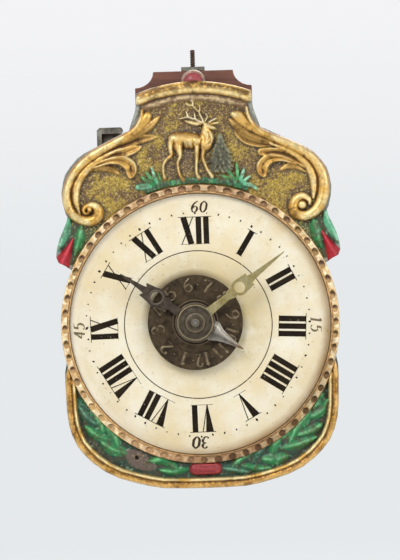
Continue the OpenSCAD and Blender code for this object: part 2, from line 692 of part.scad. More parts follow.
// Motion work.
change_pinion_r = hour_m * pinion_n / 2;
change_a = -65.4;
module change_wheel() color(brass_c) in_frame() {
    slab(minute_y, wheel_t)
        translate(great_c)
            difference() {
                polygon([for (p = teeth(minute_n, motion_m, 0.8 * motion_m)) rot(p, change_a + 5)]);
                circle(r = pivot_r + run_gap);
                for (k = [0:2])
                    rotate(120 * k + 60)
                        translate([6, 0])
                            circle(r = 2.4);
                for (k = [0:pinion_n - 1])
                    translate(polar(change_pinion_r, change_a + 30 + 60 * k))
                        circle(r = wire_r + 0.02);
            }
    slab(hour_y - 1.2, 0.8)
        translate(great_c)
            difference() {
                circle(r = change_pinion_r + wire_r + 0.6);
                circle(r = pivot_r + run_gap);
                for (k = [0:pinion_n - 1])
                    translate(polar(change_pinion_r, change_a + 30 + 60 * k))
                        circle(r = wire_r + 0.02);
            }
}
module change_wires() color(steel_c) in_frame()
    pinion_wires(great_c, hour_y - 1.2, minute_y + wheel_t, change_pinion_r, change_a + 30);
module minute_wheel() color(brass_c) in_frame() {
    slab(minute_y, wheel_t)
        translate([axis_x, axis_z])
            wheel_2d([for (p = teeth(minute_n, motion_m, 0.8 * motion_m)) rot(p, change_a)],
                motion_m * (minute_n / 2 - 1.1), 3.4, 1.8, 2, stud_r + run_gap);
    difference() {
        rod([axis_x, axis_z], -minute_hand_y - hand_t, minute_hand_y + hand_t + front_plate_y - 0.4,
            minute_pipe_r);
        rod([axis_x, axis_z], -minute_hand_y - hand_t - 1, minute_hand_y + hand_t + front_plate_y + 2,
            stud_r + run_gap);
    }
}
module hour_wheel() color(brass_c) in_frame() {
    slab(hour_y, wheel_t)
        translate([axis_x, axis_z])
            wheel_2d([for (p = teeth(hour_n, hour_m, 1.05 * hour_m)) rot(p, change_a)],
                hour_m * (hour_n / 2 - 1.1), 5, 2, 2.2, minute_pipe_r + run_gap);
    difference() {
        rod([axis_x, axis_z], -hour_hand_y - hand_t, hour_hand_y + hand_t + hour_y + wheel_t + 0.5,
            hour_pipe_r);
        rod([axis_x, axis_z], -hour_hand_y - hand_t - 1, hour_hand_y + hand_t + hour_y + wheel_t + 3,
            minute_pipe_r + run_gap);
    }
}

// Alarm disc with its cam, which turns on the hour pipe.
module alarm_disc() color(iron_c) in_frame() {
    difference() {
        union() {
            rod([axis_x, axis_z], -disc_y, 1, alarm_disc_r);
            rod([axis_x, axis_z], -disc_y - 0.6, 0.7, 10.5);
            rod([axis_x, axis_z], -disc_y + 0.9, disc_y - 0.9 + cam_y, alarm_pipe_r);
        }
        rod([axis_x, axis_z], -disc_y - 2, disc_y + cam_y + 4, hour_pipe_r + run_gap);
    }
}
module alarm_cam() color(brass_c) in_frame()
    slab(cam_y, 1.4)
        translate([axis_x, axis_z])
            difference() {
                circle(r = 9);
                circle(r = hour_pipe_r + run_gap);
                rotate(205)
                    polygon([polar(7, 0), polar(9.6, -6), polar(10, 8), polar(7.4, 8)]);
            }

// Hands, drawn pointing up and turned clockwise to about nine minutes past ten.
module turned_hand(y, a) slab(-y - hand_t, hand_t) translate([axis_x, axis_z]) rotate(-a) children();
module hour_hand() color(iron_c) in_frame()
    turned_hand(hour_hand_y, time_hour_a)
        difference() {
            union() {
                circle(r = 5.6);
                polygon([[-2, 4], [2, 4], [1.3, 10.5], [2.6, 12.4], [1.6, 14],
                    [-1.6, 14], [-2.6, 12.4], [-1.3, 10.5]]);
                translate([0, 16.6]) circle(r = 3.5);
                polygon([[-3.2, 18], [3.2, 18], [2.5, 22.4], [1.3, 21.6], [0.95, 23.6], [0.25, hour_len],
                    [-0.25, hour_len], [-0.95, 23.6], [-1.3, 21.6], [-2.5, 22.4]]);
            }
            translate([0, 16.6]) circle(r = 2);
            circle(r = hour_pipe_r + 0.01);
        }
module alarm_pointer() color(steel_c) in_frame() {
    turned_hand(pointer_y, pointer_a)
        difference() {
            union() {
                circle(r = 7.2);
                polygon([[-4.2, 5.6], [3.6, 5.6], [3, 9], [2.3, 13], [1.2, 16.5], [0, pointer_len],
                    [-1.1, 16.5], [-2.1, 13], [-3.8, 9]]);
            }
            circle(r = hour_pipe_r + 0.01);
        }
}
module minute_hand() color(brass_c) in_frame()
    turned_hand(minute_hand_y, time_minute_a)
        difference() {
            union() {
                circle(r = 6.5);
                polygon([[-1.6, 5], [1.6, 5], [1.2, 14.5], [2, 17], [1.3, 18.1],
                    [-1.3, 18.1], [-2, 17], [-1.2, 14.5]]);
                translate([0, 20.3]) circle(r = 3);
                polygon([[-2.9, 21], [2.9, 21], [2.6, 25.2], [1.6, 24.8], [1.15, 27], [0.15, minute_len],
                    [-0.15, minute_len], [-1.15, 27], [-1.6, 24.8], [-2.6, 25.2]]);
            }
            translate([0, 20.3]) circle(r = 2);
            circle(r = minute_pipe_r + 0.01);
        }
module hand_nut() color(brass_c) in_frame()
    spun([axis_x, axis_z])
        polygon([[stud_r, washer_y], [6, washer_y], [6, washer_y + 0.4], [5.2, washer_y + 0.8],
            [4.2, washer_y + 1.1], [3.5, washer_y + 1.3], [3.5, washer_y + 2.2], [2.8, washer_y + 2.6], [1.5, washer_y + 2.6],
            [1.5, washer_y + 3.1], [stud_r, washer_y + 3.1]]);

// Alarm train.
module alarm_wheel() color(brass_c) in_frame()
    slab(alarm_y, wheel_t)
        translate(alarm_c)
            wheel_2d(saw(alarm_n, alarm_r, 2.6), alarm_r - 2.6, 4, 2, 2, arbor_r);
module alarm_arbor() color(steel_c) in_frame()
    arbor(alarm_c, great_y + 10, great_y + 10, movement_end_y + 0.3);
module alarm_sprocket() color(brass_c) in_frame() sprocket(alarm_c, great_y + 3.2, arbor_r);
module hammer_arbor() color(steel_c) in_frame()
    arbor(hammer_c, great_y + 10, great_y + 10, movement_end_y + 0.3);
module hammer_pallets() color(steel_c) in_frame()
    slab(alarm_y - 0.6, 2.4)
        translate(hammer_c)
            rotate(hammer_a - 90)
                difference() {
                    union() {
                        pallets_2d(alarm_r, 1.3, 1.6);
                        circle(r = 2.8);
                    }
                    circle(r = arbor_r);
                }
// The hammer is one bent iron strip with a rounded head.
module hammer() color(iron_c) in_frame() {
    // Thin web across the back of the bent head.
    slab(arm_y + 3, 1)
        polygon([[-35.4, 66], [-31.6, 66], [-27.4, 70.6], [-27.6, 72], [-35.4, 72]]);
    slab(arm_y, 4)
        difference() {
            union() {
                translate(hammer_c) circle(r = 2.8);
                polygon([hammer_c + [0, -1.3], hammer_c + [0, 1.3], [-34.6, hammer_c[1] + 2],
                    [-34.9, hammer_c[1] + 3], [-34.9, 71.6], [-28.1, 71.6], [-28.1, 73.9], [-35.6, 73.9],
                    [-36.7, 73], [-36.7, hammer_c[1] + 1.6], [-35.4, hammer_c[1] - 0.6]]);
                translate([-28.1, 72.75]) circle(r = 1.15);
            }
            translate(hammer_c) circle(r = arbor_r);
        }
}
module release_lever() color(iron_c) in_frame() {
    rod(lever_c, cam_y, movement_end_y - cam_y + 0.2, 0.6);
    slab(cam_y + 0.1, 1.2)
        union() {
            translate(lever_c) circle(r = 1.6);
            polygon([lever_c + [-1, -1], lever_c + [1.2, 1], [axis_x - 9.3, axis_z + 2.4],
                [axis_x - 9.3, axis_z + 0.6],
                [axis_x - 10.6, axis_z + 1.2]]);
        }
    slab(arm_y + 1, 1.4)
        union() {
            translate(lever_c) circle(r = 1.5);
            polygon([lever_c + [0.6, 1.3], lever_c + [-0.8, -1.3], [-33, hammer_c[1] + 4.2],
                [-33.4, hammer_c[1] + 5.4]]);
        }
}

// Bell strap and its bare post.
strap_top = 95.7;
module bell_strap() color(iron_c) in_frame() {
    difference() {
        union() {
            translate([-4.4, strap_y - 13.2, case_top]) cube([8.8, 14.8, strap_t]);
            translate([-4.4, strap_y, case_top]) cube([8.8, 1.6, strap_top - case_top - 1.3]);
            translate([-4.4, strap_y - 2, strap_top - 1.4]) cube([8.8, 4.6, 1.4]);
        }
        for (p = [foot_nails[0], foot_nails[1]])
            translate([p[0], p[1], case_top - 1])
                cylinder(h = 4, r = 0.62);
    }
}
module bell_post() color(steel_c) in_frame()
    translate([0, strap_y + 0.3, strap_top])
        cylinder(h = post_len, r = post_r);

// Hanger: an iron strip bent up against the wall.
module hanger() color(iron_c) in_frame() {
    difference() {
        union() {
            translate([-7, back_y - 6, case_top]) cube([14, wall_y - back_y + 6, strap_t]);
            translate([-7, wall_y - strap_t, case_top]) cube([14, strap_t, 10.5]);
        }
        rod([0, hang_z], wall_y - 4, 8, hang_r);
        for (p = [foot_nails[2], foot_nails[3]])
            translate([p[0], p[1], case_top - 1])
                cylinder(h = 4, r = 0.62);
    }
}
// Wooden studs that keep the lower back clear of the wall.
module wall_spacers() color(wood) in_frame()
    for (s = [-1, 1])
        rod([s * 28, -36], rear_y, wall_gap, 3);

shield();
dial();
battens();
rivets();
front_board();
back_board();
top_board();
bottom_board();
nails();
left_door();
right_door();
pintles();
front_plate();
rear_plate();
pillars();
centre_stud();
great_wheel();
great_arbor();
great_sprocket();
click();
click_spring();
collet();
clutch_spring();
second_wheel();
second_arbor();
second_pinion();
escape_arbor();
escape_pinion();
escape_wheel();
anchor();
anchor_arbor();
crutch();
pendulum_hook();
change_wheel();
change_wires();
minute_wheel();
hour_wheel();
alarm_disc();
alarm_cam();
hour_hand();
alarm_pointer();
minute_hand();
hand_nut();
alarm_wheel();
alarm_arbor();
alarm_sprocket();
hammer_arbor();
hammer_pallets();
hammer();
release_lever();
bell_strap();
bell_post();
hanger();
wall_spacers();
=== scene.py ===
"""Looks of a small Black Forest alarm wall clock: gilt relief shield, enamel dial, hands, case and movement."""

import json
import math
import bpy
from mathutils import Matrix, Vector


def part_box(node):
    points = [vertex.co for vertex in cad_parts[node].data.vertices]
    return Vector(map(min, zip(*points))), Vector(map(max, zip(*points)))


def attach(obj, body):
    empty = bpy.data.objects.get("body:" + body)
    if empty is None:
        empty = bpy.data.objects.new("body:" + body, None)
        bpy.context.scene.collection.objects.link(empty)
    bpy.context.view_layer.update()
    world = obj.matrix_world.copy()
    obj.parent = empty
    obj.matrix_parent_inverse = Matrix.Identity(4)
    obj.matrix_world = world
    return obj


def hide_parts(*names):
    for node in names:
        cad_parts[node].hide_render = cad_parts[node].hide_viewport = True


bl_info = {
    "name": "Black Forest Wall Clock",
    "version": (1, 0, 0),
    "blender": (4, 5, 0),
    "location": "3D View > Sidebar > Clock",
    "description": "Shield relief, dial printing, hands, finishes and stage of a small wall clock",
    "category": "Object",
}

import bpy
import numpy as np
from bpy.props import FloatProperty, FloatVectorProperty, IntProperty, PointerProperty
from mathutils import Matrix, Vector

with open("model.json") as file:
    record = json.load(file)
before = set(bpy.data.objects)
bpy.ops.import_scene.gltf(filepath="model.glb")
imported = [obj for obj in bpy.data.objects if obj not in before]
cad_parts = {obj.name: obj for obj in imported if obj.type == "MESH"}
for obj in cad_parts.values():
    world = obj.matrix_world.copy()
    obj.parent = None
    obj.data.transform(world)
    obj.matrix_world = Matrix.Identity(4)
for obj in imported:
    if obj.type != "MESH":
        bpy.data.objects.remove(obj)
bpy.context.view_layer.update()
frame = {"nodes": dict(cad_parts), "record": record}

MM = 0.001
WALL_Y = 58.0      # wall plane behind the front board's face, mm
HOOK_Z = 65.5      # hanger hole above the dial centre, mm
SHEET_Y = -8.0     # front of the pressed sheet
SHEET_INNER_R = 49.2                               # its inner edge, under the ring
SHEET_SPACING, EDGE_ROLL = 0.3, 1.1                # distance of points along its outline, radius of its rolled edge
DOME_R, DOME_FRONT, ENAMEL_R = 453.63, 9.35, 46.6  # the enamel's sphere, its foremost point, radius in view
DISC_Y = -12.2     # front of the alarm disc
HAND_AXIS, PRINT_CENTRE, HOUR_EYE = (-1.8, 0.6), (-0.75, -0.2), (-15.480, 10.002)
POINTER_ANGLE = 30.5                               # of the alarm pointer below level, degrees
PATCH_HOLE = (-24.3, -47.5)                        # the hole in the apron's worn patch
SENSOR, VIEW_HEIGHT = 36.0, 560 * 0.36             # camera sensor, height in view at the dial: 560 pixels of 0.36 mm
AIM = (0.33, -9.0, 15.8)                           # the point the camera looks at
FLOOR_Z, LIT_POINT = -0.205, (0, -0.06, -0.05)     # metres
# Lamps: name, place and size in metres, power in watts.
LAMPS = (("key", (-0.45, -0.9, 0.62), 0.7, 8.3), ("fill", (0.75, -0.7, 0.2), 0.6, 3.2),
         ("rear", (0.1, 0.9, 0.7), 0.8, 5.0))


def tint(r, g, b):
    """Linear colour from 0 to 255 display values."""
    c = np.array([r, g, b], float) / 255
    return tuple(np.where(c <= 0.04045, c / 12.92, ((c + 0.055) / 1.055) ** 2.4))


def place(p):
    """Points [x, y, z] in the dial's millimetres, moved to the frame in metres."""
    return (np.asarray(p, float) + (0, -WALL_Y, -HOOK_Z)) * MM


def on_dial(p):
    """Points of the frame in metres, moved to the dial's millimetres."""
    return np.array(p) / MM + (0, WALL_Y, HOOK_Z)


# Settings


def size(label, text, value, low, high):
    return FloatProperty(name=label, description=text, default=value, min=low, max=high)


def colour(label, text, rgb):
    return FloatVectorProperty(name=label, description=text, default=tint(*rgb), min=0, max=1,
                               size=3, subtype="COLOR")


class ShieldSettings(bpy.types.PropertyGroup):
    relief: size("Relief", "Height of the pressed ornament, as a share of its usual height", 1.0, 0.5, 1.2)
    lattice: size("Lattice", "Spacing of the relief's sampling lattice in millimetres", 0.2, 0.15, 0.6)
    beads: IntProperty(name="Hollows", description="Hollows round the ring", default=60, min=40, max=80)
    gilding: colour("Gilding", "Bright gilding on the raised parts", (221, 173, 86))
    # Also the low colour laid in the hollows of the gilding: patina, and painted shade there.
    old_gilt: colour("Worn gilding", "Gilding in the hollows and on worn edges", (114, 76, 32))
    ground: colour("Ground", "Brown ground behind the ornament", (116, 90, 62))
    olive: colour("Olive", "Yellow-green patches on the ground", (172, 148, 62))
    leaf: colour("Leaf green", "Paint of leaves and sepals", (30, 116, 62))
    # Laid on the leaves' high parts: worn paint, and a painted highlight there.
    leaf_light: colour("Light green", "Worn high parts of the leaves", (112, 186, 122))
    leaf_dark: colour("Dark green", "Shaded paint between the leaves", (30, 66, 48))
    red: colour("Red", "Paint of buds and bar", (158, 12, 30))
    tin: colour("Tin", "Bare sheet metal of the pan's sides", (158, 160, 150))


class DialSettings(bpy.types.PropertyGroup):
    numeral_in: size("Numeral foot", "Radius of the numerals' inner ends, mm", 29.0, 27, 31)
    numeral_out: size("Numeral head", "Radius of the numerals' outer ends, mm", 38.8, 36, 40)
    dots: size("Minute dots", "Radius of the circle of minute dots, mm", 40.3, 39, 41)
    circle: size("Inner circle", "Radius of the printed circle, mm", 26.6, 25, 28)
    enamel: colour("Enamel", "Cream of the enamel", (226, 216, 192))
    yellowed: colour("Yellowed", "Enamel near its rim and centre", (214, 192, 144))
    ink: colour("Ink", "Black of the numerals", (30, 23, 15))
    faded: colour("Faded ink", "Worn ink of the small figures", (62, 50, 38))


class MetalSettings(bpy.types.PropertyGroup):
    disc: colour("Alarm disc", "Dark bronze of the alarm disc", (85, 70, 50))
    hour: colour("Hour hand", "Oxidised brass", (88, 77, 66))
    minute: colour("Minute hand", "Pale brass", (182, 170, 126))
    pewter: colour("Alarm pointer", "Silvery pewter", (112, 107, 99))
    brass: colour("Brass", "Brass of wheels and plates", (196, 160, 84))
    steel: colour("Steel", "Steel of arbors", (150, 150, 152))
    iron: colour("Iron", "Blackened iron of strap and hammer", (158, 156, 144))


class CaseSettings(bpy.types.PropertyGroup):
    board: colour("Front board", "Reddish brown wood", (116, 73, 58))
    board_dark: colour("Front board grain", "Dark grain of the front board", (84, 54, 44))
    wood: colour("Case wood", "Beech and pine of the case", (150, 108, 70))
    wood_dark: colour("Case grain", "Dark grain of the case", (96, 62, 38))


class StageSettings(bpy.types.PropertyGroup):
    camera_distance: FloatProperty(name="Camera distance", description="From the dial to the camera",
                                   default=1.0, min=0.5, max=3, unit="LENGTH", subtype="DISTANCE")
    tilt: FloatProperty(name="Camera roll", description="Turn of the camera about its own axis",
                        default=math.radians(1.7), min=-0.2, max=0.2, unit="ROTATION", subtype="ANGLE")
    backdrop: colour("Backdrop", "Pale backdrop near the floor", (229, 233, 235))
    sky: colour("Upper backdrop", "Pale backdrop above the clock", (243, 243, 245))
    ambient: size("Ambient light", "Strength of the light from all sides", 0.5, 0, 1.5)
    room: size("Dim room", "Share of the backdrop's brightness that the dim side reflects", 0.35, 0.05, 1)


# Curves and height fields


def smooth_path(points, steps=6):
    """A Catmull-Rom curve through rows of points; further columns are carried along."""
    p = np.asarray(points, float)
    if len(p) < 3 or steps < 2:
        return p
    q = np.vstack([2 * p[0] - p[1], p, 2 * p[-1] - p[-2]])
    t = np.linspace(0, 1, steps, endpoint=False)[:, None]
    parts = [0.5 * (2 * b + (c - a) * t + (2 * a - 5 * b + 4 * c - d) * t ** 2 + (3 * b - a - 3 * c + d) * t ** 3)
             for a, b, c, d in zip(q[:-3], q[1:-2], q[2:-1], q[3:])]
    return np.vstack(parts + [p[-1:]])


def smoothstep(v, low, high):
    t = np.clip((v - low) / (high - low), 0, 1)
    return t * t * (3 - 2 * t)


def band(v, low, high, top, fall):
    """Rises from low to high, and falls back to nothing at top."""
    return smoothstep(v, low, high) * smoothstep(top - v, 0, fall)


def bilinear(field, i, j, fi, fj):
    """Value between four neighbours of a lattice."""
    return ((field[i, j] * (1 - fi) + field[i + 1, j] * fi) * (1 - fj)
            + (field[i, j + 1] * (1 - fi) + field[i + 1, j + 1] * fi) * fj)


def cloud(x, z, cell, seed):
    """Smooth noise from 0 to 1 with features about one cell across."""
    lattice = np.random.default_rng(seed).random((160, 160))
    u, v = x / cell + 40.3, z / cell + 40.7
    i, j = np.floor(u).astype(int), np.floor(v).astype(int)
    fi, fj = ((f * f * (3 - 2 * f)) for f in (u - i, v - j))
    return bilinear(lattice, i % 159, j % 159, fi, fj)


def blur(a, sigma, step):
    """Gaussian blur of a lattice along both axes."""
    n = max(1, int(round(3 * sigma / step)))
    k = np.exp(-0.5 * (np.arange(-n, n + 1) * step / sigma) ** 2)
    k /= k.sum()
    for _ in range(2):
        b = np.pad(a, ((n, n), (0, 0)), mode="edge")
        a = sum(w * b[i:i + len(a)] for i, w in enumerate(k)).T
    return a


def blend(field, value, share):
    """Moves colours toward a value, in place, by a share at each point."""
    field += (np.asarray(value) - field) * np.asarray(share)[..., None]


def segment(X, Z, a, b):
    """Share of the way along a segment, and distance from it, at every point."""
    d = b[:2] - a[:2]
    t = np.clip(((X - a[0]) * d[0] + (Z - a[1]) * d[1]) / max(d @ d, 1e-9), 0, 1)
    return t, np.hypot(X - a[0] - d[0] * t, Z - a[1] - d[1] * t)


def run_length(p):
    """Distance along a polyline at each of its points."""
    return np.concatenate([[0], np.cumsum(np.hypot(*np.diff(p[:, :2], axis=0).T))])


SHAPES = {
    "ridge": lambda q: np.clip(1 - q, 0, 1) ** 0.75,
    "round": lambda q: np.sqrt(np.clip(1 - q * q, 0, 1)),
    "soft": lambda q: np.clip(1 - q * q, 0, 1),
    "flat": lambda q: np.sqrt(np.clip(1 - (np.clip(q - 0.55, 0, 1) / 0.45) ** 2, 0, 1)),
    "dish": lambda q: np.where(q < 0.74, 0.5 + 0.5 * (q / 0.74) ** 2,
                               np.sqrt(np.clip(1 - ((q - 0.74) / 0.26) ** 2, 0, 1))),
}


class Relief:
    """Height and paint of the pressed sheet on a lattice of x and z, in millimetres."""

    def __init__(self, step, scale):
        self.step, self.scale = step, scale
        self.x, self.z = np.arange(-53, 53.01, step), np.arange(-61, 93.01, step)
        self.X, self.Z = np.meshgrid(self.x, self.z)
        self.h, self.metal = np.zeros((2, *self.X.shape))
        # Low coat: patina and painted shade for the hollows; high coat: wear and painted highlight for the ridges.
        self.paint_low, self.rgb, self.paint_high = self.coats = tuple(np.zeros((3, *self.X.shape, 3)))

    def window(self, pts, margin):
        lo, hi = np.min(pts, 0) - margin, np.max(pts, 0) + margin
        i = np.searchsorted(self.z, [lo[1], hi[1]])
        j = np.searchsorted(self.x, [lo[0], hi[0]])
        return slice(i[0], i[1]), slice(j[0], j[1])

    def cloud(self, *layers, win=...):
        """Sum of smooth noises, each given as share, cell and seed."""
        return sum(share * cloud(self.X[win], self.Z[win], cell, seed) for share, cell, seed in layers)

    def wash(self, colours, share, win=...):
        """Blends low, base and high colour together."""
        for coat, value in zip(self.coats, colours):
            blend(coat[win], value, share)

    def lay(self, win, top, mask, paint):
        """Puts a form on the sheet where it stands above what is there, with its paint."""
        old = self.h[win]
        m = np.where(top > old - 0.04, mask, 0)
        self.h[win] = np.maximum(old, np.where(mask > 0, top, 0))
        self.wash(paint, m, win)
        self.metal[win] += (paint[3] - self.metal[win]) * m

    def stroke(self, path, height, paint, width=None, shape="round", vein=0.0, steps=6, lift=0.0):
        """A swelling line: rows of x, z and half-width, or x, z with one width."""
        p = np.asarray(path, float)
        if p.shape[1] == 2:
            p = np.column_stack([p, np.full(len(p), width)])
        p = smooth_path(p, steps)
        half = p[:, 2].max()
        win = self.window(p[:, :2], half + self.step)
        X, Z = self.X[win], self.Z[win]
        q, along = np.full(X.shape, 9.0), np.zeros(X.shape)
        run = run_length(p)
        run /= max(run[-1], 1e-6)
        for a, b, s0, s1 in zip(p[:-1], p[1:], run[:-1], run[1:]):
            t, e = segment(X, Z, a, b)
            e = e / np.maximum(a[2] + (b[2] - a[2]) * t, 0.05)
            near = e < q
            q[near], along[near] = e[near], (s0 + (s1 - s0) * t)[near]
        body = SHAPES[shape](np.clip(q, 0, 1)) * (1 - vein * np.exp(-(q / 0.2) ** 2))
        self.lay(win, (height + lift * along) * self.scale * body, np.clip((1 - q) * max(0.3, half) / 0.3, 0, 1), paint)

    def groove(self, path, width, depth):
        p = smooth_path(path)
        win = self.window(p, width)
        q = np.min([segment(self.X[win], self.Z[win], a, b)[1] for a, b in zip(p[:-1], p[1:])], axis=0) / width
        self.h[win] -= depth * self.scale * SHAPES["soft"](q) ** 2

    def at(self, field, x, z):
        """Bilinear value of a lattice at scattered points."""
        u = np.clip((x - self.x[0]) / self.step, 0, len(self.x) - 1.001)
        v = np.clip((z - self.z[0]) / self.step, 0, len(self.z) - 1.001)
        j, i = u.astype(int), v.astype(int)
        spare = (1,) * (field.ndim - 2)
        return bilinear(field, i, j, (v - i).reshape(-1, *spare), (u - j).reshape(-1, *spare))


# The shield's outline and ornament


def arc(cx, cz, r, a0, a1, n):
    a = np.radians(np.linspace(a0, a1, n + 1))
    return np.column_stack([cx + r * np.cos(a), cz + r * np.sin(a)])


def evenly(points, spacing):
    """Points along a polyline at even distances."""
    run = run_length(points)
    s = np.linspace(0, run[-1], max(2, int(round(run[-1] / spacing)) + 1))
    return np.column_stack([np.interp(s, run, points[:, k]) for k in (0, 1)])


def normals(p):
    """Unit normals on the right-hand side of a polyline."""
    d = np.gradient(p, axis=0)
    return np.column_stack([d[:, 1], -d[:, 0]]) / np.maximum(np.hypot(*d.T), 1e-9)[:, None]


def inner_path(points, distance):
    """A path inside the right half of the outline, at a distance from it."""
    p = evenly(points, 1.0)
    return p - normals(p) * distance


FINIAL = (0, 87.2)
CORNICE = (0, 30.6, 56.9)    # centre and radius of the crest's arc
GRASS_R = 51.6               # foot of the grass band
SHOULDER = np.vstack([
    [[45.6, 20.5], [48.3, 22.4], [50.4, 23.4], [51.3, 25.5], [51, 28], [49.9, 32], [47.2, 38], [46.8, 39.9]],
    [[47.4, 41], [48.4, 45], [48.7, 48.5], [48, 52.5], [47.2, 55.2], [45.2, 58], [42.5, 61]],
    [[40, 62.7], [35, 65.1], [30, 67.5], [25.3, 69.8], [23.7, 70.3], [23, 72.5], [22.1, 75], [21.3, 77.5]],
    [[20.9, 80]], arc(*CORNICE, 68.6, 85, 8), arc(*FINIAL, 4.5, 0, 90, 6)])
APRON = np.array([
    [48.5, -12.1], [49.25, -16], [49.3, -20], [49, -30], [48.4, -35], [47.4, -38.8], [45.5, -43],
    [43, -46.2], [40, -49.2], [35.5, -52.5], [30.5, -54.9], [25, -56.6], [20, -57.9], [15, -58.8],
    [8, -59.1], [0, -59.2]])
CREST_OUTLINE = np.vstack([SHOULDER, (SHOULDER * (-1, 1))[::-1][1:]])
APRON_OUTLINE = np.vstack([APRON * (-1, 1), APRON[::-1][1:]])


def paints(s):
    """Low, base and high colour and metal share of every finish on the shield; the low colour is patina with painted
    shade for the hollows, the high colour is wear with a painted highlight for the ridges.
    """
    c = lambda *v: np.array(tint(*v))
    gold, old, tin, ground, olive = (np.array(v) for v in (s.gilding, s.old_gilt, s.tin, s.ground, s.olive))
    leaf, light, dark = np.array(s.leaf), np.array(s.leaf_light), np.array(s.leaf_dark)
    return {
        "gilt": (old * 0.5, gold, c(255, 236, 176), 0.5),
        "dull": (old * 0.4, gold * 0.42 + old * 0.3, c(240, 198, 120), 0.5),
        "rim": (c(78, 50, 20), c(162, 112, 52), c(238, 192, 114), 0.45),
        "copper": (c(108, 76, 54), c(190, 149, 110), c(248, 228, 192), 0.3),
        "leaf": (dark * 0.8, leaf, light, 0.0),
        "shade": (dark * 0.7, c(30, 82, 58), c(112, 168, 134), 0.0),
        "pale": (dark, c(86, 168, 124), c(160, 216, 182), 0.0),
        "grass": (dark, c(34, 84, 54), c(64, 150, 98), 0.0),
        "backing": (dark * 0.64, dark * 0.8, leaf * 0.6, 0.0),
        "pine": (c(34, 34, 24), c(72, 70, 50), c(134, 134, 108), 0.0),
        "red": (c(84, 12, 22), np.array(s.red), c(206, 62, 76), 0.0),
        "bar": (c(72, 20, 22), c(132, 24, 32), c(180, 72, 72), 0.0),
        "finial": (c(96, 28, 34), c(140, 44, 52), c(166, 84, 84), 0.0),
        "brim": (c(90, 62, 48), c(150, 112, 88), c(206, 170, 140), 0.2),
        "cove": (c(66, 48, 32), c(128, 98, 68), c(208, 184, 138), 0.25),
        "horn": (c(150, 118, 70), c(222, 196, 140), c(255, 242, 206), 0.3),
        "tin": (tin * 0.7, tin, tin * 1.2, 0.4),
        "ground": (ground * 0.5, ground, c(158, 134, 96), 0.1),
        "plum": (c(70, 54, 48), c(112, 92, 82), c(146, 126, 112), 0.1),
        "olive": (olive * 0.35, olive, c(214, 200, 96), 0.1),
        "worn": (c(60, 48, 42), c(100, 84, 74), c(132, 114, 100), 0.12),
        "shadow": (c(32, 36, 22), c(64, 72, 44), c(112, 118, 80), 0.02),
        "nook": (c(30, 38, 26), c(82, 96, 64), c(120, 140, 98), 0.0),
    }


def lay_moulding(r, p):
    """Cornice roll, the hollow moulding under it, and the finial."""
    cx, cz, big = CORNICE
    for radius, half, height, paint, width, shape in (
            (51.3, 20, 0.75, "cove", 1.7, "flat"), (50.9, 19.8, 1.25, "cove", 0.55, "round"),
            (big - 2.35, 21.1, 2.4, "gilt", 2.2, "round"), (big - 0.55, 21.1, 2.0, "dull", 0.75, "round")):
        r.stroke(arc(cx, cz, radius, 90 - half, 90 + half, 24), height, p[paint], width, shape, steps=1)
    win = r.window([[-22, 79], [22, 89]], 0.2)
    rgb, gilded = r.rgb[win], r.metal[win] > 0.4
    reach = np.hypot(r.X[win], r.Z[win] - cz)
    blotch = r.cloud((0.6, 1.1, 41), (0.4, 0.5, 42), win=win)
    stale = smoothstep(reach, big - 3.0, big - 2.0) * smoothstep(blotch, 0.28, 0.55)
    # Painted highlight: a bright band along the lower half of the cornice roll.
    painted_roll_highlight = band(reach, big - 4.3, big - 3.7, big - 2.4, 0.7)
    fleck = smoothstep(blotch, 0.5, 0.62) * band(reach, 49.6, 50.2, big - 4.6, 0.4)
    blend(rgb, p["dull"][0] * 1.6, stale * gilded * 0.9)
    blend(rgb, p["gilt"][2], painted_roll_highlight * gilded * 0.55)
    blend(rgb, p["cove"][2], fleck * 0.7)
    win = r.window([[-5, 83], [5, 92]], 0.2)
    X, Z = r.X[win], r.Z[win]
    d, behind = np.hypot(X - FINIAL[0], Z - FINIAL[1]), np.hypot(X, Z - cz) > big + 0.1
    r.lay(win, behind * SHAPES["round"](np.clip(np.abs(d - 3.9) / 0.4, 0, 1)), behind * (d > 3.5), p["brim"])
    r.lay(win, behind * 2.6 * SHAPES["round"](d / 3.55), behind * np.clip((3.6 - d) / 0.3, 0, 1), p["finial"])


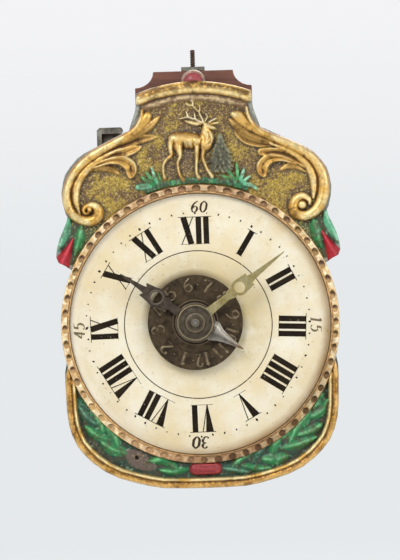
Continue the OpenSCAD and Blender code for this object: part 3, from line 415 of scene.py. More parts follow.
SCROLL_LEFT = {
    "outer": [(-18.7, 77.4, 0.5), (-19.4, 74.4, 0.8), (-21.8, 70.6, 1.1), (-26.2, 67.6, 1.5), (-32, 64.5, 1.9),
              (-37.6, 61.3, 2), (-42.3, 57.4, 1.9), (-45.4, 52.8, 1.8), (-46.8, 48.4, 1.75), (-46.4, 44.2, 1.8),
              (-44.8, 40.9, 1.9), (-41.8, 38.8, 1.9), (-38.6, 38.3, 2), (-36, 39.7, 2.1), (-35.6, 42, 1.9),
              (-37.2, 43.7, 1.4), (-39.4, 43.7, 1), (-40.8, 42.4, 0.8), (-40.4, 41, 0.6), (-39.2, 40.8, 0.5)],
    "inner": [(-27, 63.9, 0.5), (-32, 61.7, 1), (-37.4, 58.4, 1.5), (-41.3, 54.6, 1.7), (-43.3, 50.4, 1.7),
              (-43.6, 46, 1.5), (-42.8, 42.6, 1), (-42, 40.6, 0.5)],
    "eye": (-38.7, 42.2, 1.1),
    "leaves": [[(-31.5, 63.6, 0.6), (-25.4, 67.1, 1.3), (-20.9, 70.6, 1.8), (-18.2, 73.6, 2.2), (-17, 75.3, 1.7)],
               [(-28, 64.9, 0.5), (-21.8, 68, 1.3), (-17, 71.2, 1.6), (-14.2, 73.6, 1.2), (-12.4, 75.2, 0.3)],
               [(-31, 62.9, 0.5), (-25.5, 65.2, 1.2), (-19.8, 66.9, 1.5), (-16.2, 67.6, 1.1), (-13.8, 67.8, 0.3)],
               [(-38, 58.6, 0.5), (-32, 60.9, 1.3), (-25.8, 62.4, 1.8), (-21.8, 63.6, 1.4), (-19.6, 64.4, 0.4)],
               [(-37, 57.6, 0.5), (-31, 59.6, 1.2), (-26.6, 59.5, 1.9), (-23.9, 57.8, 2.3), (-23.3, 55.6, 2.1),
                (-23.7, 53.9, 1)],
               [(-40, 55.4, 0.4), (-36.5, 57, 1.1), (-33, 57.1, 1.4), (-30, 56.3, 1.3), (-27.8, 55, 0.5)]],
}
SCROLL_RIGHT = {
    "outer": [(18.9, 77.4, 0.5), (19.4, 74.6, 0.8), (21.4, 70.9, 1.1), (25, 67.9, 1.4), (31, 65, 1.8), (37.2, 62, 2),
              (42, 58.7, 2.1), (45, 54.2, 2.2), (46, 50, 2.3), (45.6, 45.6, 2.3), (44.3, 41.8, 2.2), (42, 39.2, 2),
              (38.8, 37.9, 1.9), (35.8, 38.8, 1.9), (34.8, 41.2, 1.9), (35.9, 43.9, 1.8), (38.2, 44.9, 1.5),
              (40.4, 43.6, 1), (40.6, 42, 0.5)],
    "inner": [(27, 64.3, 0.5), (32.5, 62, 1.1), (37.2, 59.2, 1.5), (40.6, 55.6, 1.6), (42.2, 51.6, 1.6),
              (42.4, 47.6, 1.3), (42, 44.2, 0.6)],
    "eye": (37.7, 41.9, 1.9),
    "leaves": [[(30, 64.8, 0.6), (24.4, 67.6, 1.3), (20.2, 70.2, 1.7), (17.4, 72.8, 2.3), (15.6, 74.4, 2),
                (13.9, 75.2, 1)],
               [(28, 64.6, 0.5), (22.3, 66.5, 1.3), (17.6, 69, 1.6), (14.4, 71.6, 1.3), (12.6, 73.4, 0.4)],
               [(28, 63.6, 0.5), (22.5, 64.2, 1.2), (18.4, 65.6, 1.4), (15.6, 67.8, 1), (14.4, 69.6, 0.3)],
               [(41, 54, 0.4), (37.2, 57.6, 1.2), (32.6, 60.1, 1.5), (28, 61.1, 1.7), (23.8, 61.2, 1.4)],
               [(36, 57, 0.5), (30.6, 58.9, 1.2), (26.6, 58.6, 1.9), (24.4, 56.8, 2.3), (23.9, 54.8, 2.1),
                (24.5, 53, 1)],
               [(39.6, 53.6, 0.4), (36.4, 55.6, 1.1), (33.2, 56, 1.3), (30.6, 54.8, 0.6)]],
}
# Body, far and near hind leg, near and far foreleg, neck, head and ears, each with its height.
STAG = [
    ([(-8.1, 66.9, 1.9), (-6.6, 66.6, 2.8), (-4.1, 66.3, 3.2), (-2.1, 66, 3.1), (-0.2, 65.8, 3), (1.6, 65.6, 2.9)],
     2.6),
    ([(-8.4, 66.9, 1.4), (-8.9, 64.6, 1.1), (-8.8, 62.5, 0.9), (-8.8, 60.9, 0.65), (-10.3, 59.7, 0.6),
      (-11.5, 58, 0.55), (-11.8, 55.8, 0.5), (-11.6, 53.9, 0.55), (-11.3, 52.9, 0.8)], 1.8),
    ([(-6.4, 66.1, 2.1), (-6.1, 63.8, 1.7), (-5.6, 61.7, 1.05), (-5.5, 60.5, 0.7), (-6.5, 58.3, 0.6),
      (-6.3, 55.8, 0.5), (-5.8, 53.8, 0.55), (-4.7, 52.2, 0.8)], 2.35),
    ([(0.8, 65.5, 1.6), (0.7, 63.2, 1.2), (0.5, 61.1, 0.8), (0.4, 59, 0.6), (0.2, 56.5, 0.5), (0.3, 54.1, 0.55),
      (1, 52.7, 0.8)], 2.3),
    ([(3.5, 64.7, 1.7), (2.9, 62.4, 0.95), (2.6, 60.1, 0.65), (3.4, 57.4, 0.6), (4.4, 55, 0.6), (5.8, 53.1, 0.8)],
     1.9),
    ([(3.5, 65, 2.8), (4.3, 67.2, 2.7), (4.2, 69, 1.95), (3.8, 70.6, 1.2)], 2.8),
    ([(3.6, 72, 0.7), (4.3, 71.3, 1.05), (5.9, 70.6, 0.9), (7.4, 70.1, 0.5)], 2.9),
    ([(2.5, 71.9, 0.35), (0.4, 72.1, 0.75), (-1.6, 72.6, 0.65), (-3.6, 73.3, 0.2)], 1.5),
    ([(5, 72, 0.35), (6.4, 71.9, 0.55), (8.5, 72.3, 0.2)], 1.3),
]
# Furrows between the stag's limbs and in its coat.
COAT = [
    [(-7.9, 66.8), (-7.2, 64.4), (-6.9, 62.6), (-7.3, 61.2)], [(-4.3, 65.4), (-4.2, 63.4), (-4.7, 61.6)],
    [(-0.9, 66.4), (-0.8, 64.6), (-0.2, 62.8)], [(2.2, 66.2), (1.9, 64.2), (1.6, 62.2)],
    [(2.6, 68.4), (3.6, 66.8), (3.4, 65)], [(4.6, 69), (5.2, 67.6), (4.8, 66)], [(5.4, 67.4), (5.6, 66), (5, 64.6)],
]
ANTLERS = [
    [(3, 72.4, 0.42), (1.6, 73, 0.38), (0.5, 73.6, 0.38), (-0.8, 74, 0.35), (-2.3, 74.6, 0.35), (-3.9, 74.3, 0.32),
     (-5.5, 74, 0.25)],
    [(-2.3, 74.6, 0.35), (-2.5, 75.5, 0.32), (-2.9, 76.5, 0.25)],
    [(0.5, 73.6, 0.35), (0.2, 74.7, 0.32), (0.2, 75.8, 0.25)],
    [(3.3, 72.5, 0.42), (2.8, 73.9, 0.4), (2.1, 75.2, 0.38), (1.8, 76.3, 0.36), (2.1, 77.2, 0.34), (2, 78.5, 0.25)],
    [(1.8, 76.3, 0.35), (0.7, 77.3, 0.32), (-0.5, 78.7, 0.32), (-0.3, 79.6, 0.32), (-1.1, 80.6, 0.22)],
    [(-0.5, 78.7, 0.32), (-1.8, 78.8, 0.3), (-3, 79.6, 0.22)],
    [(3.8, 72.8, 0.3), (4.6, 74.1, 0.26), (4.6, 75, 0.25), (3.9, 75.7, 0.2)],
    [(5, 72.2, 0.38), (6.1, 73, 0.36), (7.8, 73.8, 0.3)],
]
# Leaves at the left and at the right of the stag.
CLUMPS = [
    [(-16.5, 50, 1), (-19, 49.9, 1.5), (-21, 49.8, 1.1)],
    [(-15.5, 50.3, 0.8), (-18.4, 52.4, 0.9), (-19.6, 53.4, 0.5)],
    [(-14.6, 50.6, 0.8), (-16.6, 53.2, 0.9), (-18, 55.2, 0.45)],
    [(-13.8, 50.8, 0.7), (-15, 53.8, 0.8), (-15.9, 56.7, 0.45)],
    [(-12.6, 51, 0.6), (-13, 53, 0.7), (-13.8, 54.8, 0.4)], [(13.2, 51.2, 0.6), (10.6, 52.6, 0.7), (8.4, 53.3, 0.4)],
    [(14, 51.6, 0.7), (12.2, 54, 0.8), (11.4, 55.8, 0.4)], [(15, 51.6, 0.7), (14.9, 54.6, 0.8), (14.7, 57.4, 0.4)],
    [(16, 51.2, 0.7), (16.8, 53.6, 0.8), (17.4, 55.6, 0.4)],
    [(16.6, 50.6, 0.7), (18.2, 51.8, 0.7), (19.4, 52.6, 0.4)],
    [(17.2, 50, 0.8), (19.8, 49.4, 0.9), (21.8, 47.9, 0.5)],
]
# Backing, inner and outer sepal and flower of the right bud.
BUD = [
    ([(43, 37, 1.4), (45.6, 32.5, 2.4), (46.6, 27.5, 2.6), (46.8, 24.6, 2.4)], 0.5, "shadow", "flat"),
    ([(41.8, 36.2, 1), (42.6, 32.8, 2.3), (43.6, 29.4, 2), (44.4, 26.2, 0.5)], 1.5, "leaf", "ridge"),
    ([(46.4, 38.8, 1), (47.5, 35.2, 2.2), (49.1, 31.6, 2), (50.5, 28.2, 0.9)], 1.7, "pale", "ridge"),
    ([(44.8, 32.2, 0.3), (46.1, 29.4, 1.2), (47.6, 26.4, 2.1), (48.7, 24.2, 2.9), (49.2, 23.2, 3.2)], 2.3, "red",
     "ridge"),
]
GARLAND_SPINE = [(4.5, -52.2), (12, -51.6), (20, -49.6), (28, -45.6), (34.5, -40.2), (39.4, -33.6), (42, -27)]
GARLAND_BACKING = [(5, -52.6, 3.2), (14, -51.8, 3.4), (24, -48.4, 4.4), (33, -42, 4.6), (39.4, -34.5, 3.2),
                   (42.6, -26, 1.2)]
BAR = [(-3.3, -52.2), (4.2, -52.2)]
WORN_PATCH = [(-27.2, -45.6, 1.4), (-24.4, -48, 3.2), (-20.6, -50.2, 2.3), (-18.2, -51, 1)]
NECK_FOLD = [(21, 79.5, 0.8), (21.6, 75, 1.9), (23.6, 71.2, 1.6), (28, 68.6, 0.7)]


def lay_scroll(r, p, part):
    for n, (leaf, height) in enumerate(zip(part["leaves"], (1.9, 1.6, 1.4, 1.7, 2.1, 1.1))):
        r.stroke(leaf, height, p["gilt" if n in (0, 3, 4) else "dull"], shape="dish" if n in (2, 3, 4) else "round")
    r.stroke(part["inner"], 1.9, p["gilt"])
    r.stroke(part["outer"], 2.6, p["gilt"])
    x, z, w = part["eye"]
    r.stroke([(x - 0.05, z), (x + 0.05, z)], 2.5, p["gilt"], w, steps=1)


def lay_stag(r, p):
    for k, (path, height) in enumerate(STAG):
        r.stroke(path, height, p["gilt"], shape="round" if k else "soft")
    for path in COAT:
        r.groove(path, 0.42, 0.55)
    for path in ANTLERS:
        r.stroke(path, 1.6, p["horn"])


def lay_plants(r, p):
    """Pine, grass band and the clumps of leaves beside the stag."""
    needles, trunk = np.random.default_rng(17), 9.1
    for k, half in enumerate((0.5, 1.0, 1.9, 2.7, 3.4, 3.9, 4.3, 4.3, 3.9)):
        z = 67.3 - 1.5 * k
        for m in range(-4, 5):
            x, drop = trunk + half * m / 4, 0.8 + 0.5 * needles.random() - 0.05 * m * m
            r.stroke([(trunk + half * m / 7, z + 0.7, 0.6), (x + 0.3 * needles.normal(), z - drop, 0.5)],
                     1.0 + 0.6 * needles.random(), p["pine"], steps=1, lift=0.5)
    r.stroke(arc(0, 0, GRASS_R + 0.1, 70, 110, 30), 0.9, p["grass"], 1.3, "flat", steps=1)
    tufts = np.random.default_rng(11)
    for _ in range(46):
        a = math.radians(71 + 38 * tufts.random())
        x, z = GRASS_R * math.cos(a), GRASS_R * math.sin(a)
        r.stroke([(x, z - 0.6, 0.5), (x + tufts.normal() * 0.6, z + 0.7 + 0.5 * tufts.random(), 0.25)], 1.3,
                 p["grass" if tufts.random() < 0.6 else "leaf"], steps=1)
    for k, leaf in enumerate(CLUMPS):
        r.stroke(leaf, 1.5, p["pale" if k in (0, 3, 8, 9, 10) else "leaf"], vein=0.35)


def lay_buds(r, p):
    for side in (1, -1):
        for path, height, paint, shape in BUD:
            r.stroke(np.array(path) * (side, 1, 1), height, p[paint], shape=shape)


def lay_garland(r, p):
    """Laurel leaves on both sides of the red bar, each with a mid-rib, and the worn patch at the left."""
    spine = smooth_path(GARLAND_SPINE, 12)
    run = run_length(spine)
    at = lambda d: np.array([np.interp(d, run, spine[:, k]) for k in (0, 1)])
    shake = np.random.default_rng(23)
    for side in (1, -1):
        r.stroke(np.array(GARLAND_BACKING) * (side, 1, 1), 0.4, p["backing"], shape="flat")
        for k in range(14):
            start = 1.5 + 3.8 * k
            if side < 0 and 9 < start < 22:
                continue
            a, b = at(start), at(start + 10.5)
            t = (b - a) / max(np.hypot(*(b - a)), 0.1)
            n = np.array([-t[1], t[0]]) * (1 if k % 2 else -1)
            wide = (1.9, 2.1, 2.3, 2.4)[min(k // 2, 3)] * (1 if k < 10 else 0.8) * (0.8 + 0.4 * shake.random())
            reach = (3.0, 3.6, 4.0, 2.6, 1.0)[min(k // 3, 4)]
            tip = b + n * (reach + 0.9 * shake.normal()) + t * 1.2 * shake.normal()
            mid = (a + tip) / 2 + n * (1.0 + 0.5 * shake.normal())
            leaf = [(*a, 0.5), (*(a * 0.65 + mid * 0.35), wide * 0.8), (*mid, wide),
                    (*(mid * 0.4 + tip * 0.6), wide * 0.7), (*tip, 0.2)]
            r.stroke(np.array(leaf) * (side, 1, 1), 0.8 + 0.3 * shake.random(),
                     p["leaf" if shake.random() < 0.85 else "shade"], shape="soft", vein=-0.3, lift=0.7)
    r.stroke(WORN_PATCH, 0.8, p["worn"], shape="flat")
    for _ in range(40):
        t = shake.random()
        x, z = -26.6 + 8 * t + shake.normal(), -46 - 4.6 * t + shake.normal()
        r.stroke([(x, z, 0.35), (x + 0.6 * shake.normal(), z + 0.5 * shake.normal(), 0.2)], 0.95,
                 p[("worn", "shadow", "plum")[shake.integers(3)]], shape="flat", steps=1)


def lay_ground(r, p, fine):
    """Brown ground with olive patches, the darker apron and nooks, and the pan's bare rim."""
    region = r.cloud((0.5, 3.6, 2), (0.5, 6.5, 22))
    beside = smoothstep(1.25 - np.hypot((r.X + 1.5) / 11, (r.Z - 61) / 10), 0, 0.45)
    patch = smoothstep(fine + 0.85 * (region - 0.5) - 0.16 * beside - 0.08 * smoothstep(r.Z, 68, 80), 0.4, 0.58)
    r.wash(p["ground"], np.ones(r.X.shape))
    r.wash(p["plum"], beside * 0.8)
    r.wash(p["olive"], patch)
    for coat in r.coats:
        coat *= (0.88, 0.81, 0.73) * (0.78 + 0.44 * region)[..., None]
    apron = smoothstep(-r.Z, 6, 12)
    r.wash(p["shadow"], apron)
    r.wash(p["nook"], smoothstep(np.abs(r.X), 32, 35) * smoothstep(39 - r.Z, 0, 2) * (r.Z > 10))
    r.metal[:] = p["ground"][3] - 0.08 * apron
    stipple = r.cloud((1, 0.62, 5), (0.6, 0.36, 6)) - 0.8
    r.h[:] = (0.5 * stipple + 0.4 * (fine - 0.5)) * smoothstep(np.hypot(r.X, r.Z), 50.0, 51.0)
    for side in (1, -1):
        r.stroke(inner_path(SHOULDER, 0.7) * (side, 1), 0.35, p["tin"], 1.0, "flat", steps=1)
        r.stroke(np.array(NECK_FOLD) * (side, 1, 1), 0.25, p["tin"], shape="flat")


def lay_rim(r, p):
    """Rolled gilt rim round the apron, spotted with tarnish, and the red bar."""
    for side in (1, -1):
        for distance, half, height, paint, shape in ((2.2, 1.5, 0.8, "rim", "flat"), (1.25, 1.45, 1.9, "rim", "round"),
                                                     (3.1, 0.72, 2.3, "gilt", "round")):
            path = inner_path(APRON[::-1], distance)
            swelling = np.column_stack([path, half * smoothstep(-path[:, 1], 11, 21)])
            r.stroke(swelling * (side, 1, 1), height, p[paint], shape=shape, steps=1)
    rolled = (np.abs(r.metal - 0.45) < 0.02) * (r.Z < 0)
    for seed, spot, share in ((51, (112, 74, 28), 0.8), (53, (226, 170, 78), 0.7), (55, (136, 112, 34), 0.5)):
        spots = smoothstep(r.cloud((0.4, 1.4, seed), (0.6, 0.5, seed + 1)), 0.5, 0.6)
        blend(r.rgb, tint(*spot), spots * share * rolled)
    r.stroke(BAR, 1.9, p["bar"], 2.3, steps=1)
    r.groove([(-3.6, -51.3), (4.4, -51.4)], 0.35, 0.35)
    r.groove([(-3.2, -53.2), (4.0, -53.2)], 0.3, 0.25)


def weather(r):
    """Patina, grime and painted shade in the hollows, wear and a painted highlight on the ridges, painted shade on the
    outer slopes, chips and dirt.
    """
    worn = r.cloud((1, 3.3, 8))
    r.h += r.cloud((0.1, 1.5, 9)) - 0.05
    r.h = blur(r.h, 0.16, r.step)
    curve, broad, slope = (r.h - blur(r.h, sigma, r.step) for sigma in (0.75, 2.2, 1.2))
    gilded = r.metal > 0.3
    grime = smoothstep(r.cloud((0.6, 1.9, 14), (0.4, 0.7, 15)), 0.56, 0.72)
    # Patina and grime in the hollows and on low slopes, with painted shade there.
    groove_patina_shade = (smoothstep(-curve, 0.03, 0.5) + smoothstep(-broad, 0.15, 1.4) * 0.7) * (1 + 0.3 * gilded)
    groove_patina_shade = np.clip(groove_patina_shade + (0.55 * grime + 0.3 * smoothstep(-slope, -0.12, 0.45)) * gilded, 0, 1)
    blend(r.rgb, r.paint_low, groove_patina_shade)
    # Wear on the ridges, with a painted highlight.
    blend(r.rgb, r.paint_high, smoothstep(curve, 0.04, 0.34) * smoothstep(worn, 0.1, 0.7) * 0.85)
    # Painted shade on the gilt slopes that face away from the middle of the crest.
    fall_z, fall_x = np.gradient(-r.h, r.step)
    up = r.Z - 48
    away = (fall_x * r.X + fall_z * up) / np.hypot(r.X, up)
    outer_slope_shade = smoothstep(away, 0.15, 1.1) * (r.metal > 0.45) * band(r.Z, 44, 52, 79, 3)
    blend(r.rgb, tint(150, 104, 64), outer_slope_shade * (0.3 + 0.48 * smoothstep(np.abs(r.X), 16, 22)))
    green = (r.rgb[..., 1] > r.rgb[..., 0] * 1.15) & (r.metal < 0.05)
    chip = smoothstep(r.cloud((0.5, 0.8, 18), (0.5, 0.42, 19)), 0.70, 0.8)
    dirt = smoothstep(r.cloud((0.5, 1.6, 24), (0.5, 0.6, 25)), 0.47, 0.67)
    blend(r.rgb, tint(156, 200, 164), chip * green * 0.4)
    blend(r.rgb, tint(74, 60, 38), dirt * green * 0.6)
    r.rgb *= (0.8 + r.cloud((0.2, 0.9, 10), (0.2, 0.45, 20)))[..., None]
    r.rough = 0.3 + 0.3 * groove_patina_shade + r.cloud((0.12, 1.2, 12))


def build_relief(s):
    """The whole sheet's height and paint."""
    r, p = Relief(s.lattice, s.relief), paints(s)
    fine = r.cloud((0.3, 0.42, 3), (0.35, 0.75, 4), (0.35, 1.6, 7))
    lay_ground(r, p, fine)
    lay_plants(r, p)
    lay_stag(r, p)
    lay_moulding(r, p)
    lay_buds(r, p)
    for part in (SCROLL_LEFT, SCROLL_RIGHT):
        lay_scroll(r, p, part)
    lay_garland(r, p)
    lay_rim(r, p)
    # The ground next to the gilded forms in the crest is made browner and darker.
    bare = smoothstep(blur((r.metal > 0.25).astype(float), 1.4, r.step), 0.1, 0.42)
    bare *= (np.abs(r.metal - 0.1) < 0.03) * (r.Z > 36) * 0.8
    low, base, high, _ = p["plum"]
    r.wash((low, base * 0.8, high), bare)
    r.h *= 0.15 + 0.85 * smoothstep(np.hypot(r.X, r.Z), 49.9, 50.4)
    r.h -= 2.2 * SHAPES["soft"](np.hypot(r.X - PATCH_HOLE[0], r.Z - PATCH_HOLE[1]) / 0.75)
    weather(r)
    reach = int(round(1.4 / r.step))
    r.low = r.h
    for axis in (0, 1):
        r.low = np.min([np.roll(r.low, k, axis) for k in range(-reach, reach + 1)], axis=0)
    r.low = np.maximum(blur(r.low, 0.5, r.step) - 0.15, 0)
    return r


# Meshes


def add_object(name, data):
    obj = bpy.data.objects.new(name, data)
    bpy.context.scene.collection.objects.link(obj)
    return obj


def mesh_piece(name, verts, faces, material, body, attributes=None, smooth=True):
    """A mesh in dial millimetres becomes a piece that rides on a body."""
    mesh = bpy.data.meshes.new(name)
    mesh.from_pydata([tuple(v) for v in place(verts)], [], [tuple(map(int, f)) for f in faces])
    for key, values in (attributes or {}).items():
        values = np.asarray(values, np.float32)
        if values.ndim == 2:
            layer = mesh.color_attributes.new(key, "FLOAT_COLOR", "POINT")
            layer.data.foreach_set("color", np.insert(values, 3, 1, axis=1).ravel())
        else:
            mesh.attributes.new(key, "FLOAT", "POINT").data.foreach_set("value", values)
    mesh.materials.append(material)
    mesh.polygons.foreach_set("use_smooth", [smooth] * len(mesh.polygons))
    mesh.validate()
    mesh.update()
    obj = add_object(name, mesh)
    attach(obj, body)
    return obj


def grid_faces(rows, cols, close_rows=False, close_cols=False, start=0):
    """Quads over a grid of rows and columns stored row by row."""
    I, J = np.meshgrid(np.arange(rows - (not close_rows)), np.arange(cols - (not close_cols)), indexing="ij")
    corners = [((I + i) % rows * cols + (J + j) % cols).ravel() for i, j in ((0, 0), (0, 1), (1, 1), (1, 0))]
    return list(np.column_stack(corners) + start)


def tube_faces(rows, cols, start=0):
    """Quads round a tube of rows, with a flat face at each end."""
    last = start + (rows - 1) * cols
    return grid_faces(rows, cols, False, True, start) + [range(start, start + cols)[::-1], range(last, last + cols)]


def at_depth(p, y):
    """Points x, z of the dial plane at a depth y, or each at its own depth."""
    return np.column_stack([p[:, 0], np.broadcast_to(y, len(p)), p[:, 1]])


def pressed_sheet(name, outline, r, material, rows, tin):
    """A pressed sheet between the ring and an outline, with its folded side and its hollow back."""
    outer = evenly(outline, SHEET_SPACING)
    n = normals(outer)
    angle = np.maximum.accumulate(np.unwrap(np.arctan2(outer[:, 1], outer[:, 0])))
    inner = SHEET_INNER_R * np.column_stack([np.cos(angle), np.sin(angle)])
    span = outer - inner
    length = np.hypot(*span.T)
    lean = np.abs((span / np.maximum(length, 1e-6)[:, None] * n).sum(1))
    front, back = [], []
    for k in np.linspace(0, 1, rows)[::-1] ** 1.15:
        p = outer - span * k
        rest = np.maximum(EDGE_ROLL - length * k * lean, 0)
        drop = EDGE_ROLL - np.sqrt(np.maximum(EDGE_ROLL ** 2 - rest ** 2, 0))
        front.append(at_depth(p, SHEET_Y - r.at(r.h, *p.T) + drop))
    wall = [at_depth(outer, front[-1][:, 1] * (1 - f) - 0.05 * f) for f in (0.12, 0.4, 0.7, 1)]
    inset = outer - n * np.minimum(1.0, 0.5 * length * lean + 0.02)[:, None]
    inside = [at_depth(inset, y) for y in (-0.05, -3.4, -6.6)]
    for k in np.linspace(0.06, 1, 16):
        p = inset - (inset - inner) * k
        back.append(at_depth(p, SHEET_Y + 1.0 - 0.9 * r.at(r.low, *p.T) * smoothstep(k, 0, 0.25)))
    loop = front + wall + inside + back
    cols, count = len(outer), len(loop)
    verts = np.vstack(loop)
    faces = [f[::-1] for f in grid_faces(count, cols, close_rows=True)]
    faces += [range(0, count * cols, cols), range(cols - 1, count * cols, cols)[::-1]]
    x, y, z = verts.T
    rgb, metal, rough = (r.at(field, x, z) for field in (r.rgb, r.metal, r.rough))
    bare = np.repeat([0, 0.4, 1], [(len(front) - 1) * cols, cols, (count - len(front)) * cols])
    blend(rgb, np.array(tin) * (0.55 + 0.5 * cloud(x + y, z, 2.4, 21))[:, None], bare)
    metal += (0.5 - metal) * bare
    moss = np.clip(1 - np.abs(metal - 0.1) / 0.02, 0, 1) * (1 - bare)
    looks = {"paint": rgb, "metal": metal, "rough": rough, "moss": moss}
    return mesh_piece(name, verts, faces, material, "case", looks)


def lathe(name, centre, profile, material, body, around=96):
    """A closed profile of radius and y turned about an axis toward the viewer; its ridges are painted bright, as wear
    and a painted highlight.
    """
    r, y = np.transpose(profile)
    a = np.linspace(0, 2 * np.pi, around, endpoint=False)
    flat = np.column_stack([np.outer(r, np.cos(a)).ravel(), np.outer(r, np.sin(a)).ravel()])
    verts = at_depth(np.array(centre) + flat, np.repeat(y, around))
    ridge = np.clip((0.5 * (np.roll(y, 1) + np.roll(y, -1)) - y) / 0.12, 0, 1)
    return mesh_piece(name, verts, grid_faces(len(r), around, close_rows=True, close_cols=True), material, body,
                      {"wear_highlight": np.repeat(ridge, around)})


FLAT_SECTION = ((-1, -0.05), (-1, 0.035), (0, 0.04), (1, 0.035), (1, -0.05))
ROUND_SECTION = ((-1, -0.1), (-0.95, 0.12), (-0.5, 0.34), (0, 0.4), (0.5, 0.34), (0.95, 0.12), (1, -0.1))


def compass(angle):
    """Outward and clockwise direction on the dial at an angle from the top, in radians."""
    return np.array([math.sin(angle), math.cos(angle)]), np.array([math.cos(angle), -math.sin(angle)])


def dome_y(x, z):
    """Front of the enamel at a place on the dial."""
    return DOME_R - DOME_FRONT - math.sqrt(DOME_R ** 2 - min(x * x + z * z, ENAMEL_R ** 2))


class Ribbons:
    """Printed or raised lines on a surface, gathered into one mesh."""

    def __init__(self, surface=dome_y, section=FLAT_SECTION):
        self.surface, self.section, self.verts, self.faces = surface, section, [], []

    def add(self, path, widths, closed=False):
        p = np.asarray(path, float)
        rows, cols, start = len(p), len(self.section), len(self.verts)
        w = np.interp(np.linspace(0, 1, rows), np.linspace(0, 1, len(widths)), widths)
        d = (np.roll(p, -1, 0) - np.roll(p, 1, 0)) if closed else np.gradient(p, axis=0)
        n = np.column_stack([-d[:, 1], d[:, 0]]) / np.maximum(np.hypot(*d.T), 1e-9)[:, None]
        for q, m in zip(p, n * w[:, None]):
            for u, lift in self.section:
                x, z = q + m * u
                self.verts.append((x, self.surface(x, z) - lift, z))
        self.faces += grid_faces(rows, cols, True, True, start) if closed else tube_faces(rows, cols, start)

    def piece(self, name, material, body):
        return mesh_piece(name, np.array(self.verts), self.faces, material, body, smooth=False)


FIGURE_STEP = 0.7128  # from figure to figure, as a share of the height
# Digits in a box 0.6 wide and 1 high, as strokes that are smoothed when drawn.
DIGITS = {
    "0": [[(0.3, 1), (0.1, 0.78), (0.07, 0.5), (0.1, 0.22), (0.3, 0), (0.5, 0.22), (0.53, 0.5), (0.5, 0.78),
           (0.3, 1)]],
    "1": [[(0.14, 0.82), (0.3, 1)], [(0.3, 1), (0.3, 0.5), (0.3, 0)], [(0.14, 0), (0.46, 0)]],
    "2": [[(0.08, 0.76), (0.16, 0.97), (0.42, 0.97), (0.5, 0.72), (0.32, 0.4), (0.08, 0.03)],
          [(0.08, 0.03), (0.52, 0.05)]],
    "3": [[(0.1, 0.86), (0.3, 1), (0.48, 0.82), (0.42, 0.6), (0.24, 0.54)],
          [(0.24, 0.54), (0.48, 0.46), (0.52, 0.22), (0.32, 0), (0.08, 0.12)]],
    "4": [[(0.42, 1), (0.24, 0.66), (0.04, 0.3)], [(0.04, 0.3), (0.56, 0.3)], [(0.42, 1), (0.42, 0.5), (0.42, 0)]],
    "5": [[(0.5, 0.97), (0.16, 0.97)], [(0.16, 0.97), (0.12, 0.58)],
          [(0.12, 0.56), (0.34, 0.64), (0.52, 0.42), (0.46, 0.12), (0.26, 0), (0.07, 0.12)]],
    "6": [[(0.46, 1), (0.22, 0.78), (0.08, 0.44), (0.14, 0.1), (0.32, 0), (0.5, 0.16), (0.48, 0.42), (0.3, 0.54),
           (0.12, 0.36)]],
    "7": [[(0.06, 0.84), (0.1, 0.97)], [(0.1, 0.97), (0.54, 0.97)], [(0.54, 0.97), (0.36, 0.5), (0.24, 0)]],
    "8": [[(0.3, 0.54), (0.12, 0.7), (0.16, 0.94), (0.3, 1), (0.45, 0.94), (0.48, 0.7), (0.3, 0.54), (0.1, 0.36),
           (0.1, 0.1), (0.3, 0), (0.5, 0.1), (0.5, 0.36), (0.3, 0.54)]],
    "9": [[(0.48, 0.62), (0.3, 0.46), (0.12, 0.58), (0.1, 0.84), (0.28, 1), (0.47, 0.9), (0.52, 0.56), (0.4, 0.22),
           (0.16, 0)]],
}


def figure(ribbons, text, centre, angle, radius, height, half, bold=1.9, slant=0.14, aspect=1.1):
    """A number whose foot points to the centre, at a clockwise angle from the top."""
    out, side = compass(math.radians(angle))
    for k, letter in enumerate(text):
        shift = (k - (len(text) - 1) / 2) * FIGURE_STEP * height * aspect
        for line in DIGITS[letter]:
            p = smooth_path(line, 5)
            u = (p[:, 0] - 0.3 + slant * (p[:, 1] - 0.5)) * height * aspect + shift
            v = (p[:, 1] - 0.5) * height
            d = np.gradient(p, axis=0)
            upright = np.abs(d[:, 1]) / np.maximum(np.hypot(*d.T), 1e-9)
            ribbons.add(np.array(centre) + np.outer(v + radius, out) + np.outer(u, side),
                        half * (0.55 + (bold - 0.55) * upright ** 2))


# Materials


class Nodes:
    """Short ways to add and join the nodes of a material or of the world."""

    def __init__(self, owner):
        owner.use_nodes = True
        self.tree = owner.node_tree

    def node(self, kind, props=None, **inputs):
        n = self.tree.nodes.new(kind)
        for key, value in (props or {}).items():
            setattr(n, key, value)
        for key, value in inputs.items():
            socket = n.inputs[int(key[1:])] if key[0] == "i" and key[1:].isdigit() else n.inputs[key.replace("_", " ")]
            self.fill(socket, value)
        return n

    def fill(self, socket, value):
        if isinstance(value, bpy.types.NodeSocket):
            self.tree.links.new(value, socket)
        else:
            socket.default_value = (*value, 1) if socket.type == "RGBA" and len(value) == 3 else value

    def shaders(self, fac, first, second):
        return self.node("ShaderNodeMixShader", i0=fac, i1=first, i2=second).outputs[0]

    def mix(self, fac, a, b, how="MIX"):
        return self.node("ShaderNodeMix", {"data_type": "RGBA", "blend_type": how}, i0=fac, i6=a, i7=b).outputs[2]

    def math(self, how, a, b=0.0):
        return self.node("ShaderNodeMath", {"operation": how}, i0=a, i1=b).outputs[0]

    def times(self, a, b):
        return self.math("MULTIPLY", a, b)

    def span(self, value, low, high, to_low=0.0, to_high=1.0, how="LINEAR"):
        return self.node("ShaderNodeMapRange", {"interpolation_type": how}, Value=value, From_Min=low, From_Max=high,
                         To_Min=to_low, To_Max=to_high).outputs[0]

    def vector(self, how, a, b=(0, 0, 0)):
        return self.node("ShaderNodeVectorMath", {"operation": how}, i0=a, i1=b).outputs["Value"]


